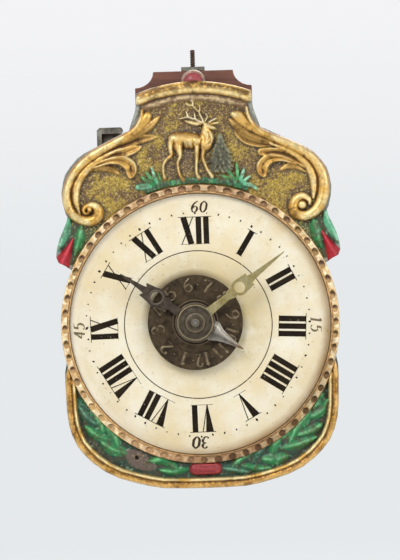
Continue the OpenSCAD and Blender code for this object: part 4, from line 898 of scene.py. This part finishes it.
class Finish(Nodes):
    """A node material built step by step around one Principled shader; over() lays the next coat on its colour."""

    def __init__(self, name, **values):
        self.material = bpy.data.materials.new(name)
        super().__init__(self.material)
        self.shader = self.tree.nodes["Principled BSDF"]
        self.where = self.node("ShaderNodeTexCoord").outputs["Object"]
        self.shade = None
        self.set(**values)

    def set(self, **values):
        for key, value in values.items():
            self.fill(self.shader.inputs[key.replace("_", " ")], value)

    def over(self, fac, colour, how="MIX"):
        self.shade = self.mix(fac, self.shade, colour, how)

    def noise(self, scale, detail=3, rough=0.5, stretch=None, warp=0.0):
        where = self.node("ShaderNodeMapping", Vector=self.where, Scale=stretch).outputs[0] if stretch else self.where
        return self.node("ShaderNodeTexNoise", Vector=where, Scale=scale, Detail=detail, Roughness=rough,
                         Distortion=warp).outputs["Fac"]

    def attribute(self, name, output="Fac"):
        return self.node("ShaderNodeAttribute", {"attribute_name": name}).outputs[output]

    def done(self, roughness, height, distance, strength, **values):
        """Sets the colour, roughness and fine bumps, and hands over the material."""
        bumps = self.node("ShaderNodeBump", Height=height, Distance=distance, Strength=strength).outputs[0]
        self.set(Base_Color=self.shade, Roughness=roughness, Normal=bumps, **values)
        return self.material


def sheet_finish():
    f = Finish("pressed_gilt_sheet")
    speck, moss = f.span(f.noise(900, 4, 0.6), 0.3, 0.7, 0.78, 1.16), f.attribute("moss")
    f.shade = f.attribute("paint", "Color")
    f.over(1.0, f.node("ShaderNodeCombineColor", i0=speck, i1=speck, i2=speck).outputs[0], "MULTIPLY")
    f.over(f.times(f.span(f.noise(1900, 2), 0.5, 0.42, 0, 0.6), moss), tint(88, 66, 44))
    f.over(f.times(f.span(f.noise(1500, 2, warp=0.4), 0.54, 0.62, 0, 0.5), moss), tint(206, 186, 98))
    f.over(f.times(f.span(f.noise(420, 5, 0.65), 0.62, 0.70), 0.55), tint(96, 72, 44))
    rough = f.math("ADD", f.attribute("rough"), f.span(f.noise(700), 0.3, 0.7, -0.06, 0.1))
    return f.done(rough, f.noise(1500, 3), 0.0001, 0.7, Metallic=f.attribute("metal"))


def metal_finish(name, base, dark, rough=0.38, metallic=0.9, scratch=0.5, cell=260, soot_and_shade=0.0, rub_highlight_gain=1.5):
    """Aged metal: cloudy tarnish, rusty places, places painted bright as wear and painted highlight, fine scratches and
    pits, and soot with painted shade in its corners.
    """
    f = Finish(name)
    tarnish = f.span(f.noise(cell, 5, 0.6), 0.35, 0.68)
    lines = f.noise(900, 2, 0.5, stretch=(1, 1, 0.12))
    f.shade = f.mix(tarnish, base, dark)
    # Wear and a painted highlight: the colour is lifted where the attribute is set.
    f.over(f.attribute("wear_highlight"), tuple(min(1, rub_highlight_gain * c + 0.015) for c in base))
    f.over(f.attribute("rust"), tint(124, 92, 44))
    f.over(f.span(lines, 0.55, 0.75, 0, 0.35 * scratch), tuple(min(1, c * 1.6) for c in base))
    # Soot in the corners, with painted shade there, from ambient occlusion.
    if soot_and_shade:
        corner = f.node("ShaderNodeAmbientOcclusion", {"samples": 8}, Distance=0.006).outputs["AO"]
        f.over(f.span(corner, 0.75, 0.25, 0, soot_and_shade), tint(34, 24, 18))
    return f.done(f.math("ADD", f.span(tarnish, 0, 1, rough, rough + 0.22), f.span(lines, 0.3, 0.7, -0.05, 0.06)),
                  f.math("ADD", f.noise(1400, 3), f.times(lines, 0.6)), 0.00004, 0.6, Metallic=metallic)


def enamel_finish(s):
    """Cream enamel, yellowed at its rim and round the disc, with stains and specks and a darker zone by the disc's
    upper left edge; its rim has a tan stain with painted shade on the right and a painted highlight on the left.
    """
    f = Finish("old_enamel")
    flat, turned = (f.node("ShaderNodeMapping", Vector=f.where, Location=(-x * MM, 0, (HOOK_Z - z) * MM),
                           Scale=(1, 0, 1)).outputs[0] for x, z in ((0, 0), HAND_AXIS))
    reach, beyond = f.vector("LENGTH", flat), f.vector("LENGTH", turned)
    toward = lambda x, z: f.math("DIVIDE", f.vector("DOT_PRODUCT", flat, (x, 0, z)), reach)
    cloudy, patchy = f.noise(70, 5, 0.6), f.noise(190, 5, 0.65)
    wavy = f.math("ADD", reach, f.times(cloudy, 0.012))
    f.shade = f.mix(f.times(f.span(wavy, 0.042, 0.0565), 0.6), s.enamel, s.yellowed)
    middle = f.times(f.span(wavy, 0.035, 0.0245), f.span(toward(0.64, 0.77), -0.6, 0.5, 0.2, 1))
    f.over(f.times(middle, f.span(patchy, 0.35, 0.6, 0.35, 0.95)), tint(190, 170, 112))
    f.over(f.span(cloudy, 0.46, 0.64, 0, 0.55), s.yellowed)
    f.over(f.span(cloudy, 0.44, 0.3, 0, 0.6), tint(232, 226, 208))
    f.over(f.span(patchy, 0.46, 0.66, 0, 0.45), tint(222, 204, 158))
    lip = f.times(f.span(f.math("ADD", reach, f.times(patchy, 0.002)), 0.0448, 0.0476),
                  f.span(f.noise(45, 2), 0.3, 0.6, 0.4, 0.95))
    # A tan stain on the rim, with painted shade that makes it strongest on the right.
    f.over(f.times(lip, f.span(toward(0.906, -0.42), 0, 0.75, 0.1, 1)), tint(172, 136, 90))
    # Painted highlight on the rim's left side, lightening the shadow of the ring there.
    f.over(f.times(lip, f.span(toward(-0.906, 0.42), -0.3, 0.4, 0, 0.8)), tint(252, 242, 220))
    # Darker next to the disc's upper left edge.
    upper_left_dark = f.times(f.span(beyond, 0.0196, 0.0174), f.span(toward(-0.5, 0.866), 0.1, 0.9, 0, 0.75))
    f.over(upper_left_dark, tint(112, 92, 60))
    f.over(f.span(f.noise(330, 4, 0.7), 0.62, 0.76, 0, 0.4), tint(170, 142, 96))
    f.over(f.span(f.noise(950, 3, 0.6), 0.66, 0.73, 0, 0.6), tint(120, 92, 58))
    return f.done(f.span(cloudy, 0.3, 0.7, 0.34, 0.5), f.noise(160, 4), 0.00012, 0.35, Coat_Weight=0.25,
                  Coat_Roughness=0.22, Specular_IOR_Level=0.35)


def ink_finish(name, ink, ground, wear):
    f = Finish(name)
    f.shade = f.mix(f.span(f.noise(150, 3), 0.45, 0.8, 0, 0.25), ink, tint(84, 70, 52))
    f.over(f.times(f.span(f.noise(760, 5, 0.7), 0.69 - wear, 0.74 - wear), 0.7), ground)
    return f.done(0.6, f.noise(900, 3), 0.00003, 0.5, Specular_IOR_Level=0.08)


def wood_finish(name, light, dark, along, rough=0.6, gloss=0.3):
    """Wood with long grain along one axis, pores and worn patches."""
    f = Finish(name)
    grain = lambda share: tuple(share if k == along else 1.0 for k in range(3))
    broad = f.noise(150, 6, 0.62, stretch=grain(0.07), warp=0.6)
    fine = f.noise(1300, 3, 0.6, stretch=grain(0.04))
    ramp = f.node("ShaderNodeValToRGB", Fac=broad)
    ramp.color_ramp.elements.new(0.5)
    for stop, at, value in zip(ramp.color_ramp.elements, (0.28, 0.5, 0.72), (dark, light, [c * 1.25 for c in light])):
        stop.position, stop.color = at, (*value, 1)
    f.shade = ramp.outputs["Color"]
    f.over(f.span(fine, 0.5, 0.7, 0, 0.55), dark)
    f.over(f.span(f.noise(55, 5, 0.65), 0.45, 0.75, 0, 0.5), tuple(c * 0.5 for c in dark))
    return f.done(f.span(fine, 0.3, 0.7, rough - 0.08, rough + 0.12), f.math("ADD", f.times(fine, 0.8), broad),
                  0.00022, 0.7, Specular_IOR_Level=gloss)


# Operators


# Each numeral with its turn off the hour in degrees, as printed.
NUMERALS = (("XII", -0.4), ("I", 1.8), ("II", 2.7), ("III", 2.7), ("IIII", 2.6), ("V", 0.9), ("VI", -0.8),
            ("VII", -1.5), ("VIII", -1.6), ("IX", -1.1), ("X", 1.9), ("XI", -1.3))
# Turned profiles: radius and depth.
DISC_RINGS = ((7.4, -12.7), (7.6, -13), (7.9, -13.12), (8.1, -13.1), (8.3, -12.9), (8.6, -12.7), (9.2, -12.68),
              (9.8, -12.66), (10.3, -12.62), (10.45, -12.6), (7.4, -12.6))
EYE_RING = ((2.02, -15.3), (2.02, -15.58), (2.15, -15.72), (2.4, -15.78), (2.65, -15.74), (2.95, -15.52),
            (2.95, -15.3))
NUT = ((1, -17.5), (6, -17.5), (6.35, -17.6), (6.35, -17.85), (6.15, -17.95), (5.9, -17.8), (5.6, -17.65),
       (5.1, -17.72), (4.85, -17.85), (4.5, -17.95), (4.1, -18.03), (3.8, -18.08), (3.55, -18.2), (3.45, -19.2),
       (3.2, -19.4), (2.6, -19.5), (2, -19.58), (1.6, -19.7), (1.35, -20.2), (1.2, -20.5), (1.05, -20.4), (1, -20.2))
STUD_TIP = ((0.02, -20.75), (0.45, -20.72), (0.7, -20.62), (0.9, -20.45), (0.98, -20.3), (0.98, -20), (0.02, -20))
RING_IN, RING_OUT = 46.9, 50.2                     # edges of the pressed ring
# The ring's outer side and hollow back: radius and depth.
RING_SIDES = ((RING_OUT, -6.2), (RING_OUT, -3.2), (RING_OUT, -0.05), (49.3, -0.05), (49.3, -3.5), (49.25, -7.02),
              (RING_IN, -7.02))
CROWN_R, HOLLOW_R, LINE_R = 48.8, 48.75, 47.5      # the ring's crown, the middle of its hollows, its gold line
DISC_NUMBERS_R = 13.6                              # middle of the alarm disc's numbers
# The pointer's leaf: distance from the axis, its two edges, and its ridge with the ridge's height.
POINTER_LEAF = ((5.4, 3.9, -3.5, 2.3, 0.2), (7.6, 4.3, -3, 2.4, 0.75), (9.6, 2.85, -2.1, 1.8, 0.8),
                (12.5, 1.85, -1.3, 1.1, 0.7), (16, 1.1, -0.75, 0.6, 0.5), (19.7, 0.12, -0.12, 0, 0.1))


def soften(width, *nodes):
    """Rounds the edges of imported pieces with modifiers; their meshes stay as they are."""
    for node in nodes:
        modifiers = frame["nodes"][node].modifiers
        modifiers.new("weld", "WELD").merge_threshold = 2e-6
        bevel = modifiers.new("edges", "BEVEL")
        bevel.width, bevel.segments, bevel.limit_method = width * MM, 2, "ANGLE"
        bevel.angle_limit, bevel.harden_normals = math.radians(35), True


def dress(material, *nodes):
    """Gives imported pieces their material."""
    for node in nodes:
        obj = frame["nodes"][node]
        for slot in obj.material_slots:
            slot.material = material
        if not len(obj.material_slots):
            obj.data.materials.append(material)


def frame_body(node):
    """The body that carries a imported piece."""
    return next(b for b, names in frame["record"]["behaviour"]["bodies"].items() if node in names)


class ClockOperator:
    bl_options = {"REGISTER", "UNDO"}


class CLOCK_OT_stage(ClockOperator, bpy.types.Operator):
    """Camera, floor, soft lights and pale surroundings"""
    bl_idname = "clock.stage"
    bl_label = "Stage"

    def execute(self, context):
        s, scene = context.scene.clock_stage, context.scene
        scene.view_settings.view_transform = "Standard"
        data = bpy.data.cameras.new("camera")
        data.sensor_width, data.sensor_fit = SENSOR, "AUTO"
        data.lens = SENSOR * s.camera_distance / (VIEW_HEIGHT * MM)
        data.clip_start, data.clip_end = 0.01, 50
        camera = scene.camera = add_object("camera", data)
        c, w = math.cos(s.tilt), math.sin(s.tilt)
        turn = Matrix(((c, w, 0), (0, 0, -1), (-w, c, 0))).to_4x4()
        camera.matrix_world = Matrix.Translation(place(AIM) - (0, s.camera_distance, 0)) @ turn
        self.floor(s)
        self.surroundings(s, scene)
        for name, at, wide, power in LAMPS:
            lamp = bpy.data.lights.new(name, "AREA")
            lamp.energy, lamp.size, lamp.shape = power, wide, "DISK"
            light = add_object(name, lamp)
            light.location = at
            light.rotation_euler = (Vector(LIT_POINT) - Vector(at)).to_track_quat("-Z", "Y").to_euler()
        return {"FINISHED"}

    def floor(self, s):
        """A round floor that keeps the clock's shadow and fades into the backdrop."""
        around = 64
        verts = [(r * math.cos(a), r * math.sin(a), FLOOR_Z) for r in (0.25, 0.6, 2.0, 6.0)
                 for a in np.linspace(0, 2 * np.pi, around, endpoint=False)]
        mesh = bpy.data.meshes.new("floor")
        mesh.from_pydata(verts, [], [tuple(range(around))] + [tuple(f) for f in grid_faces(4, around, close_cols=True)])
        floor = add_object("floor", mesh)
        f = Finish("pale_floor", Base_Color=tint(232, 233, 234), Roughness=0.9)
        plain = f.node("ShaderNodeEmission", Color=s.backdrop).outputs[0]
        fade = f.span(f.vector("LENGTH", f.where), 0.3, 0.62)
        f.fill(f.tree.nodes["Material Output"].inputs[0], f.shaders(fade, f.shader.outputs[0], plain))
        mesh.materials.append(f.material)

    def surroundings(self, s, scene):
        """Plain pale backdrop; reflections meet a room that is dimmer below and behind the viewer."""
        scene.world = bpy.data.worlds.new("surroundings")
        w = Nodes(scene.world)
        light, path = w.tree.nodes["Background"], w.node("ShaderNodeLightPath").outputs
        w.fill(light.inputs["Color"], (0.95, 0.98, 1.0))
        w.fill(light.inputs["Strength"], s.ambient)
        way = w.node("ShaderNodeSeparateXYZ", i0=w.node("ShaderNodeTexCoord").outputs["Generated"]).outputs
        level = w.times(*(w.span(way[axis], low, 0.5, s.room, 1.15, "SMOOTHSTEP")
                          for axis, low in ((2, -0.7), (1, -0.9))))
        room = w.node("ShaderNodeBackground", Color=s.backdrop, Strength=level).outputs[0]
        tone = w.mix(w.span(way[2], 0, 0.09), s.backdrop, s.sky)
        seen = w.node("ShaderNodeBackground", Color=tone).outputs[0]
        clear = w.math("MAXIMUM", path["Is Camera Ray"], path["Is Transmission Ray"])
        unseen = w.shaders(path["Is Glossy Ray"], light.outputs[0], room)
        w.fill(w.tree.nodes["World Output"].inputs[0], w.shaders(clear, unseen, seen))


class CLOCK_OT_shield(ClockOperator, bpy.types.Operator):
    """Pressed shield: crest with scrolls, stag and plants, and the apron with its garland"""
    bl_idname = "clock.shield"
    bl_label = "Shield"

    def execute(self, context):
        s = context.scene.clock_shield
        r, gilt = build_relief(s), sheet_finish()
        for name, outline, rows in (("shield_crest", CREST_OUTLINE, 118), ("shield_apron", APRON_OUTLINE, 40)):
            piece = pressed_sheet(name, outline, r, gilt, rows, s.tin)
            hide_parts("shield")
        self.ring(s, gilt)
        return {"FINISHED"}

    def ring(self, s, gilt):
        """Pressed ring round the dial: oval hollows between raised facets, and a plain gold line inside; painted shade
        in the hollows and painted highlights on the facets are part of its colour.
        """
        a = np.linspace(0, 2 * np.pi, s.beads * 20, endpoint=False)
        radii = np.concatenate([[RING_IN], np.linspace(46.98, 50.1, 34), [RING_OUT]])
        R, A = np.meshgrid(radii, a, indexing="ij")
        cos, sin = np.cos(A), np.sin(A)
        noise = lambda cell, seed: cloud(R * cos, R * sin, cell, seed)
        pitch = 2 * np.pi / s.beads
        drift = A + 0.012 * np.sin(5 * A + 1) + 0.008 * np.sin(11 * A)
        off = ((drift + pitch / 2) % pitch - pitch / 2) * CROWN_R
        under, over = smoothstep(-sin, 0.15, 0.6), smoothstep(sin, 0.2, 0.7)
        wide, tall = (1.35 - 0.1 * under) * (0.85 + 0.3 * noise(4.0, 34)), 0.95 + 0.35 * (1 - np.abs(cos))
        pit = np.hypot(off / wide, (R - HOLLOW_R - 0.35 * under) / tall)
        hollow = smoothstep(1.2 - pit, 0, 0.45)
        # Painted shade on the upper walls of the hollows.
        upper_wall_shade = smoothstep((R - HOLLOW_R) * sin + off * cos - 0.45 * under, -0.4, 0.7)
        h = 0.9 + 1.25 * SHAPES["flat"](np.abs(R - CROWN_R) / 1.5) - (1.05 - 0.35 * under) * hollow
        line = 0.35 + 0.85 * SHAPES["round"](np.abs(R - LINE_R) / 0.45)
        h = np.where(R < 47.95, np.maximum(line, h * smoothstep(R, 47.6, 48.1)), h)
        h += 0.24 * (noise(0.9, 31) - 0.5)
        h[0], h[-1] = 0.3, 0.9
        deg = np.degrees(a)
        near = (deg + 180) % 360 - 180
        bare = np.maximum(band(near, -17, -15, 26, 2), band(deg, 153.5, 155.5, 197, 2))
        circle = np.column_stack([np.cos(a), np.sin(a)])
        rows = [at_depth(circle * r, SHEET_Y - up * s.relief) for r, up in zip(radii, h)]
        for r, y in RING_SIDES:
            rows.append(at_depth(circle * r, -7.0 + (y + 7.0) * bare if y > -7.0 else y))
        low, rosy, high, metal = paints(s)["copper"]
        sides = smoothstep(np.abs(cos), 0.35, 0.85)
        face, dark = (np.tile(base, (*R.shape, 1)) for base in (rosy, tint(112, 78, 58)))
        blend(face, tint(226, 190, 136), sides)
        # Painted highlight on the crowns of the facets, strongest at the ring's sides.
        blend(face, high, smoothstep(h, 1.7, 2.05) * smoothstep(noise(1.3, 35), 0.25, 0.7) * (0.35 + 0.65 * sides))
        blend(dark, tint(116, 92, 46), smoothstep(noise(6, 36), 0.4, 0.6))
        blend(dark, low, (1 - sides) * 0.5)
        # Share of dark paint in each hollow: painted shade, strongest on its upper wall; also larger at the ring's top
        # and sides.
        shade = 0.08 + 0.25 * sides + 0.35 * over + (0.85 - 0.4 * over) * upper_wall_shade + 0.3 * (noise(0.8, 37) - 0.5)
        blend(face, dark, hollow * np.clip(shade, 0, 1))
        # Painted shade: a dark rim round each hollow, mostly on its upper side.
        face *= (1 - 0.4 * np.exp(-((pit - 0.9) / 0.18) ** 2) * (R > 47.9) * (0.2 + 0.8 * upper_wall_shade))[..., None]
        blend(face, tint(208, 170, 122), smoothstep(48.0 - R, 0, 0.2) * smoothstep(noise(2.2, 38), 0.1, 0.5))
        blend(face, tint(108, 80, 40), smoothstep(47.35 - R, 0, 0.2) * 0.95 + np.exp(-((R - 47.98) / 0.16) ** 2) * 0.12)
        # Painted shade on the ring's lower right, deepest in the hollows.
        lower_right_shade = smoothstep(0.574 * cos - 0.819 * sin, 0.6, 0.95) * (0.74 + 0.76 * hollow)
        face *= (0.97, 0.94, 0.86) * (1 - lower_right_shade[..., None] * (0.52, 0.56, 0.62))
        face *= (0.78 + 0.4 * noise(1.1, 33))[..., None]
        tone = np.tile(low, (len(rows) * len(a), 1))
        tone[:R.size] = face.reshape(-1, 3)
        tone[R.size:R.size + 3 * len(a)] = np.array(s.tin) * 0.8
        looks = {"paint": tone, "metal": np.full(len(tone), metal), "rough": np.full(len(tone), 0.42)}
        faces = grid_faces(len(rows), len(a), close_rows=True, close_cols=True)
        piece = mesh_piece("shield_ring", np.vstack(rows), faces, gilt, "case", looks)
        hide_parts("shield")


class CLOCK_OT_dial(ClockOperator, bpy.types.Operator):
    """Enamel of the dial, its numerals, minute dots, inner circle and quarter figures"""
    bl_idname = "clock.dial"
    bl_label = "Dial"

    def execute(self, context):
        s = context.scene.clock_dial
        dress(enamel_finish(s), "dial")
        ink = ink_finish("numeral_ink", s.ink, s.enamel, 0.03)
        grey = ink_finish("faded_ink", s.faded, s.enamel, 0.06)
        pale = ink_finish("rubbed_ink", tint(112, 102, 76), s.enamel, 0.07)
        self.numerals(s, ink)
        dots, shake = Ribbons(), np.random.default_rng(5)
        for k in range(60):
            a = math.radians(6 * k)
            c = np.array(PRINT_CENTRE) + s.dots * compass(a)[0] + shake.normal(size=2) * 0.1
            half = (0.44 if k % 5 == 0 else 0.34) * (0.75 + 0.4 * shake.random())
            d = np.array([math.sin(a + shake.normal() * 0.5), math.cos(a + shake.normal() * 0.5)]) * half * 1.25
            dots.add([c - d, c, c + d], [0.06, half, 0.06])
        dots.piece("dial_minute_dots", ink, "case")
        circle = Ribbons()
        circle.add(arc(*PRINT_CENTRE, s.circle, 0, 357, 119), [0.17], closed=True)
        circle.piece("dial_circle", grey, "case")
        for name, tone, figures in (
                ("dial_quarter_figures", grey, (("60", 2.1, 42.5, 4.0, 0.2), ("30", 180.4, 42.6, 4.2, 0.26))),
                ("dial_side_figures", pale, (("15", 91.5, 42.5, 3.9, 0.2), ("45", 268.7, 43.0, 3.9, 0.2)))):
            ribbons = Ribbons()
            for text, *rest in figures:
                figure(ribbons, text, PRINT_CENTRE, *rest)
            ribbons.piece(name, tone, "case")
        return {"FINISHED"}

    def numerals(self, s, ink):
        widths, gap, ribbons = {"I": 2.0, "V": 4.6, "X": 4.7}, 0.72, Ribbons()
        low, high = s.numeral_in, s.numeral_out
        for k, (word, drift) in enumerate(NUMERALS):
            out, side = compass(math.radians(30 * k + drift))

            def line(u0, t0, u1, t1, w0, w1):
                u, t = np.linspace(u0, u1, 7), np.linspace(t0, t1, 7)
                ribbons.add(np.array(PRINT_CENTRE) + np.outer(t, out) + np.outer(u, side), [w0 / 2, w1 / 2])

            half = (sum(widths[c] for c in word) + gap * (len(word) - 1)) / 2
            u = -half
            for c in word:
                w = widths[c]
                if c == "I":
                    line(u + 1, low, u + 1, high, 2.0, 2.0)
                elif c == "V":
                    foot, thin = (0.4, 1.0) if word == "VI" else (0.56, 0.2)
                    line(u + 1.1, high, u + w * foot, low, 2.8, 0.4)
                    line(u + w - thin, high, u + w * foot, low + 0.2, 0.36, 0.26)
                else:
                    line(u + 1.0, high, u + w - 1.0, low, 2.2, 2.1)
                    line(u + w - 0.25, high, u + 0.25, low, 0.34, 0.34)
                u += w + gap
            line(-half - 1.0, high, half + 1.0, high, 0.24, 0.24)
            line(-half - 0.3, low, half + 0.3, low, 0.14, 0.14)
        ribbons.piece("dial_numerals", ink, "case")


class CLOCK_OT_alarm_disc(ClockOperator, bpy.types.Operator):
    """Dark bronze alarm disc with its raised numbers, dots and turned rings"""
    bl_idname = "clock.alarm_disc"
    bl_label = "Alarm disc"

    def execute(self, context):
        s = context.scene.clock_metals
        bronze = metal_finish("dark_bronze", s.disc, tint(40, 31, 20), 0.42, 0.7, 0.6, 420)
        light = metal_finish("rubbed_bronze", tint(142, 126, 100), s.disc, 0.36, 0.7, 0.6, 500)
        dress(bronze, "alarm_disc")
        raised = Ribbons(lambda x, z: DISC_Y, ROUND_SECTION)
        for k in range(12):
            angle, aspect = 30 * (k - 6) - 10, 1.25 if 0 < k < 10 else 0.85
            figure(raised, str(k or 12), HAND_AXIS, angle, DISC_NUMBERS_R, 4.6, 0.42, 1.2, 0, aspect)
            c = np.array(HAND_AXIS) + DISC_NUMBERS_R * compass(math.radians(angle + 15))[0]
            raised.add([c - (0.35, 0), c, c + (0.35, 0)], [0.1, 0.38, 0.1])
        piece = raised.piece("alarm_disc_numbers", light, "alarm_setting")
        piece = lathe("alarm_disc_rings", HAND_AXIS, DISC_RINGS, bronze, "alarm_setting")
        return {"FINISHED"}


class CLOCK_OT_hands(ClockOperator, bpy.types.Operator):
    """Hour hand, minute hand, alarm pointer and the turned nut in front of them"""
    bl_idname = "clock.hands"
    bl_label = "Hands"

    def execute(self, context):
        s = context.scene.clock_metals
        dark = metal_finish("oxidised_brass", s.hour, tint(58, 50, 42), 0.4, 0.8, 0.5, 420)
        dress(dark, "hour_hand")
        dress(metal_finish("pale_brass", s.minute, tint(140, 124, 74), 0.34, 0.85, 0.5, 300), "minute_hand")
        soften(0.16, "hour_hand", "minute_hand")
        self.pointer(dark, metal_finish("old_pewter", s.pewter, tint(58, 53, 46), 0.32, 0.9, 1.0, 520, rub_highlight_gain=4.2))
        lathe("hour_hand_ring", HOUR_EYE, EYE_RING, dark, "hour", 64)
        # The nut's turned ridges get a strong painted highlight.
        bronze = metal_finish("nut_bronze", tint(74, 64, 48), tint(38, 31, 22), 0.5, 0.4, 0.5, 500, rub_highlight_gain=3.4)
        piece = lathe("hand_nut_turned", HAND_AXIS, NUT, bronze, frame_body("hand_nut"))
        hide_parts("hand_nut")
        worn = metal_finish("polished_steel", tint(112, 106, 94), tint(58, 52, 44), 0.4, 0.5, 0.5, 500)
        lathe("stud_tip", HAND_AXIS, STUD_TIP, worn, frame_body("centre_stud"))
        return {"FINISHED"}

    def pointer(self, dark, pewter):
        """Collar of the alarm pointer and its folded leaf."""
        (_, front, _), (_, rear, _) = on_dial(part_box("alarm_pointer"))
        collar = [(4.3, rear), (4.3, front), (6.0, front), (6.2, front - 0.2), (6.5, front - 0.05), (6.8, front - 0.2),
                  (7.1, front - 0.12), (7.25, front + 0.1), (7.25, rear)]
        piece = lathe("alarm_pointer_collar", HAND_AXIS, collar, dark, "hour")
        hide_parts("alarm_pointer")
        side, along = compass(math.radians(POINTER_ANGLE))
        verts = []
        for u, a, b, c, up in POINTER_LEAF:
            for v, y in ((a, front), ((a + c) / 2, front - up * 0.3), (c, front - up), ((b + c) / 2, front - up * 0.45),
                         (b, front), (b, rear), (a, rear)):
                x, z = np.array(HAND_AXIS) + along * u + side * v
                verts.append((x, y, z))
        # Painted highlight along the leaf's ridge and on one facet, the other facet darker; rust at the tip.
        worn = {"wear_highlight": np.tile([0.25, 0.5, 1, 0.05, 0.35, 0, 0], 6), "rust": np.repeat([0, 0, 0, 0, 0.25, 1], 7)}
        piece = mesh_piece("alarm_pointer_leaf", verts, tube_faces(6, 7), pewter, "hour", worn, smooth=False)
        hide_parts("alarm_pointer")


class CLOCK_OT_bell_post(ClockOperator, bpy.types.Operator):
    """Bare threaded post for the bell"""
    bl_idname = "clock.bell_post"
    bl_label = "Bell post"

    def execute(self, context):
        low, high = on_dial(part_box("bell_post"))
        centre, radius = (low[:2] + high[:2]) / 2, (high[0] - low[0]) / 2
        pitch, depth, around, base, top = 0.8, 0.24, 28, low[2] - 0.01, high[2]
        a = np.linspace(0, 2 * np.pi, around, endpoint=False)
        rows = [(0.02, base)]
        for z in np.arange(base, top - 0.25, pitch / 10):
            wave = np.abs(((z / pitch - a / (2 * np.pi)) % 1) * 2 - 1)
            rows.append((radius - depth * smoothstep(wave, 0.1, 0.9), z))
        rows += [(radius * 0.72, top - 0.12), (radius * 0.55, top), (0.02, top)]
        verts = np.vstack([np.column_stack([centre[0] + r * np.cos(a), centre[1] + r * np.sin(a), np.full(around, z)])
                           for r, z in rows])
        rust = metal_finish("rusty_steel", tint(96, 78, 66), tint(66, 48, 38), 0.55, 0.6, 0.3, 600)
        piece = mesh_piece("bell_post_thread", verts, tube_faces(len(rows), around), rust, "case")
        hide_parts("bell_post")
        return {"FINISHED"}


class CLOCK_OT_case(ClockOperator, bpy.types.Operator):
    """Wood of the front board, the case and its doors"""
    bl_idname = "clock.case"
    bl_label = "Case"

    def execute(self, context):
        s = context.scene.clock_case
        boards = ("back_board", "left_door", "right_door"), ("top_board", "bottom_board", "battens", "wall_spacers")
        dress(wood_finish("front_board_wood", s.board, s.board_dark, 0, 0.55, 0.35), "front_board")
        for name, along, nodes in zip(("case_wood_upright", "case_wood_across"), (2, 0), boards):
            dress(wood_finish(name, s.wood, s.wood_dark, along), *nodes)
        soften(0.35, "front_board", *boards[0], *boards[1][:2])
        return {"FINISHED"}


class CLOCK_OT_ironwork(ClockOperator, bpy.types.Operator):
    """Strap, hammer, hanger, nails, hinge wires and hook"""
    bl_idname = "clock.ironwork"
    bl_label = "Ironwork"

    def execute(self, context):
        s = context.scene.clock_metals
        iron = metal_finish("old_iron", s.iron, tint(74, 68, 58), 0.5, 0.5, 0.6, 220, soot_and_shade=0.9)
        dress(iron, "bell_strap", "hammer", "hanger", "nails", "pintles", "pendulum_hook", "release_lever", "crutch")
        soften(0.2, "bell_strap", "hammer", "hanger")
        return {"FINISHED"}


class CLOCK_OT_movement(ClockOperator, bpy.types.Operator):
    """Brass plates and wheels, steel arbors and pinion wires"""
    bl_idname = "clock.movement"
    bl_label = "Movement"

    def execute(self, context):
        s = context.scene.clock_metals
        dress(metal_finish("old_brass", s.brass, tint(120, 88, 40), 0.32, 0.95, 0.7, 180),
              "front_plate", "rear_plate", "pillars", "great_wheel", "great_sprocket", "click_spring", "collet",
              "clutch_spring", "second_wheel", "second_pinion", "escape_pinion", "escape_wheel", "change_wheel",
              "minute_wheel", "hour_wheel", "alarm_cam", "alarm_wheel", "alarm_sprocket", "rivets")
        dress(metal_finish("grey_steel", s.steel, tint(84, 78, 72), 0.34, 0.95, 0.7, 260),
              "centre_stud", "great_arbor", "click", "second_arbor", "escape_arbor", "anchor", "anchor_arbor",
              "change_wires", "alarm_arbor", "hammer_arbor", "hammer_pallets")
        return {"FINISHED"}


class CLOCK_PT_panel(bpy.types.Panel):
    bl_idname = "CLOCK_PT_panel"
    bl_label = "Black Forest Clock"
    bl_space_type = "VIEW_3D"
    bl_region_type = "UI"
    bl_category = "Clock"

    def draw(self, context):
        for group in GROUPS:
            box = self.layout.box()
            for key in GROUPS[group].__annotations__:
                box.prop(getattr(context.scene, group), key)
        for operator in OPERATORS:
            self.layout.operator(operator.bl_idname)


GROUPS = {"clock_shield": ShieldSettings, "clock_dial": DialSettings, "clock_metals": MetalSettings,
          "clock_case": CaseSettings, "clock_stage": StageSettings}
OPERATORS = (CLOCK_OT_stage, CLOCK_OT_shield, CLOCK_OT_dial, CLOCK_OT_alarm_disc, CLOCK_OT_hands, CLOCK_OT_bell_post,
             CLOCK_OT_case, CLOCK_OT_ironwork, CLOCK_OT_movement)


def register():
    for cls in (*GROUPS.values(), *OPERATORS, CLOCK_PT_panel):
        bpy.utils.register_class(cls)
    for name, cls in GROUPS.items():
        setattr(bpy.types.Scene, name, PointerProperty(type=cls))


def unregister():
    for name in GROUPS:
        delattr(bpy.types.Scene, name)
    for cls in (CLOCK_PT_panel, *reversed(OPERATORS), *reversed(list(GROUPS.values()))):
        bpy.utils.unregister_class(cls)


def main():
    register()
    for operator in OPERATORS:
        group, name = operator.bl_idname.split(".")
        getattr(getattr(bpy.ops, group), name)()


if __name__ == "__main__":
    main()
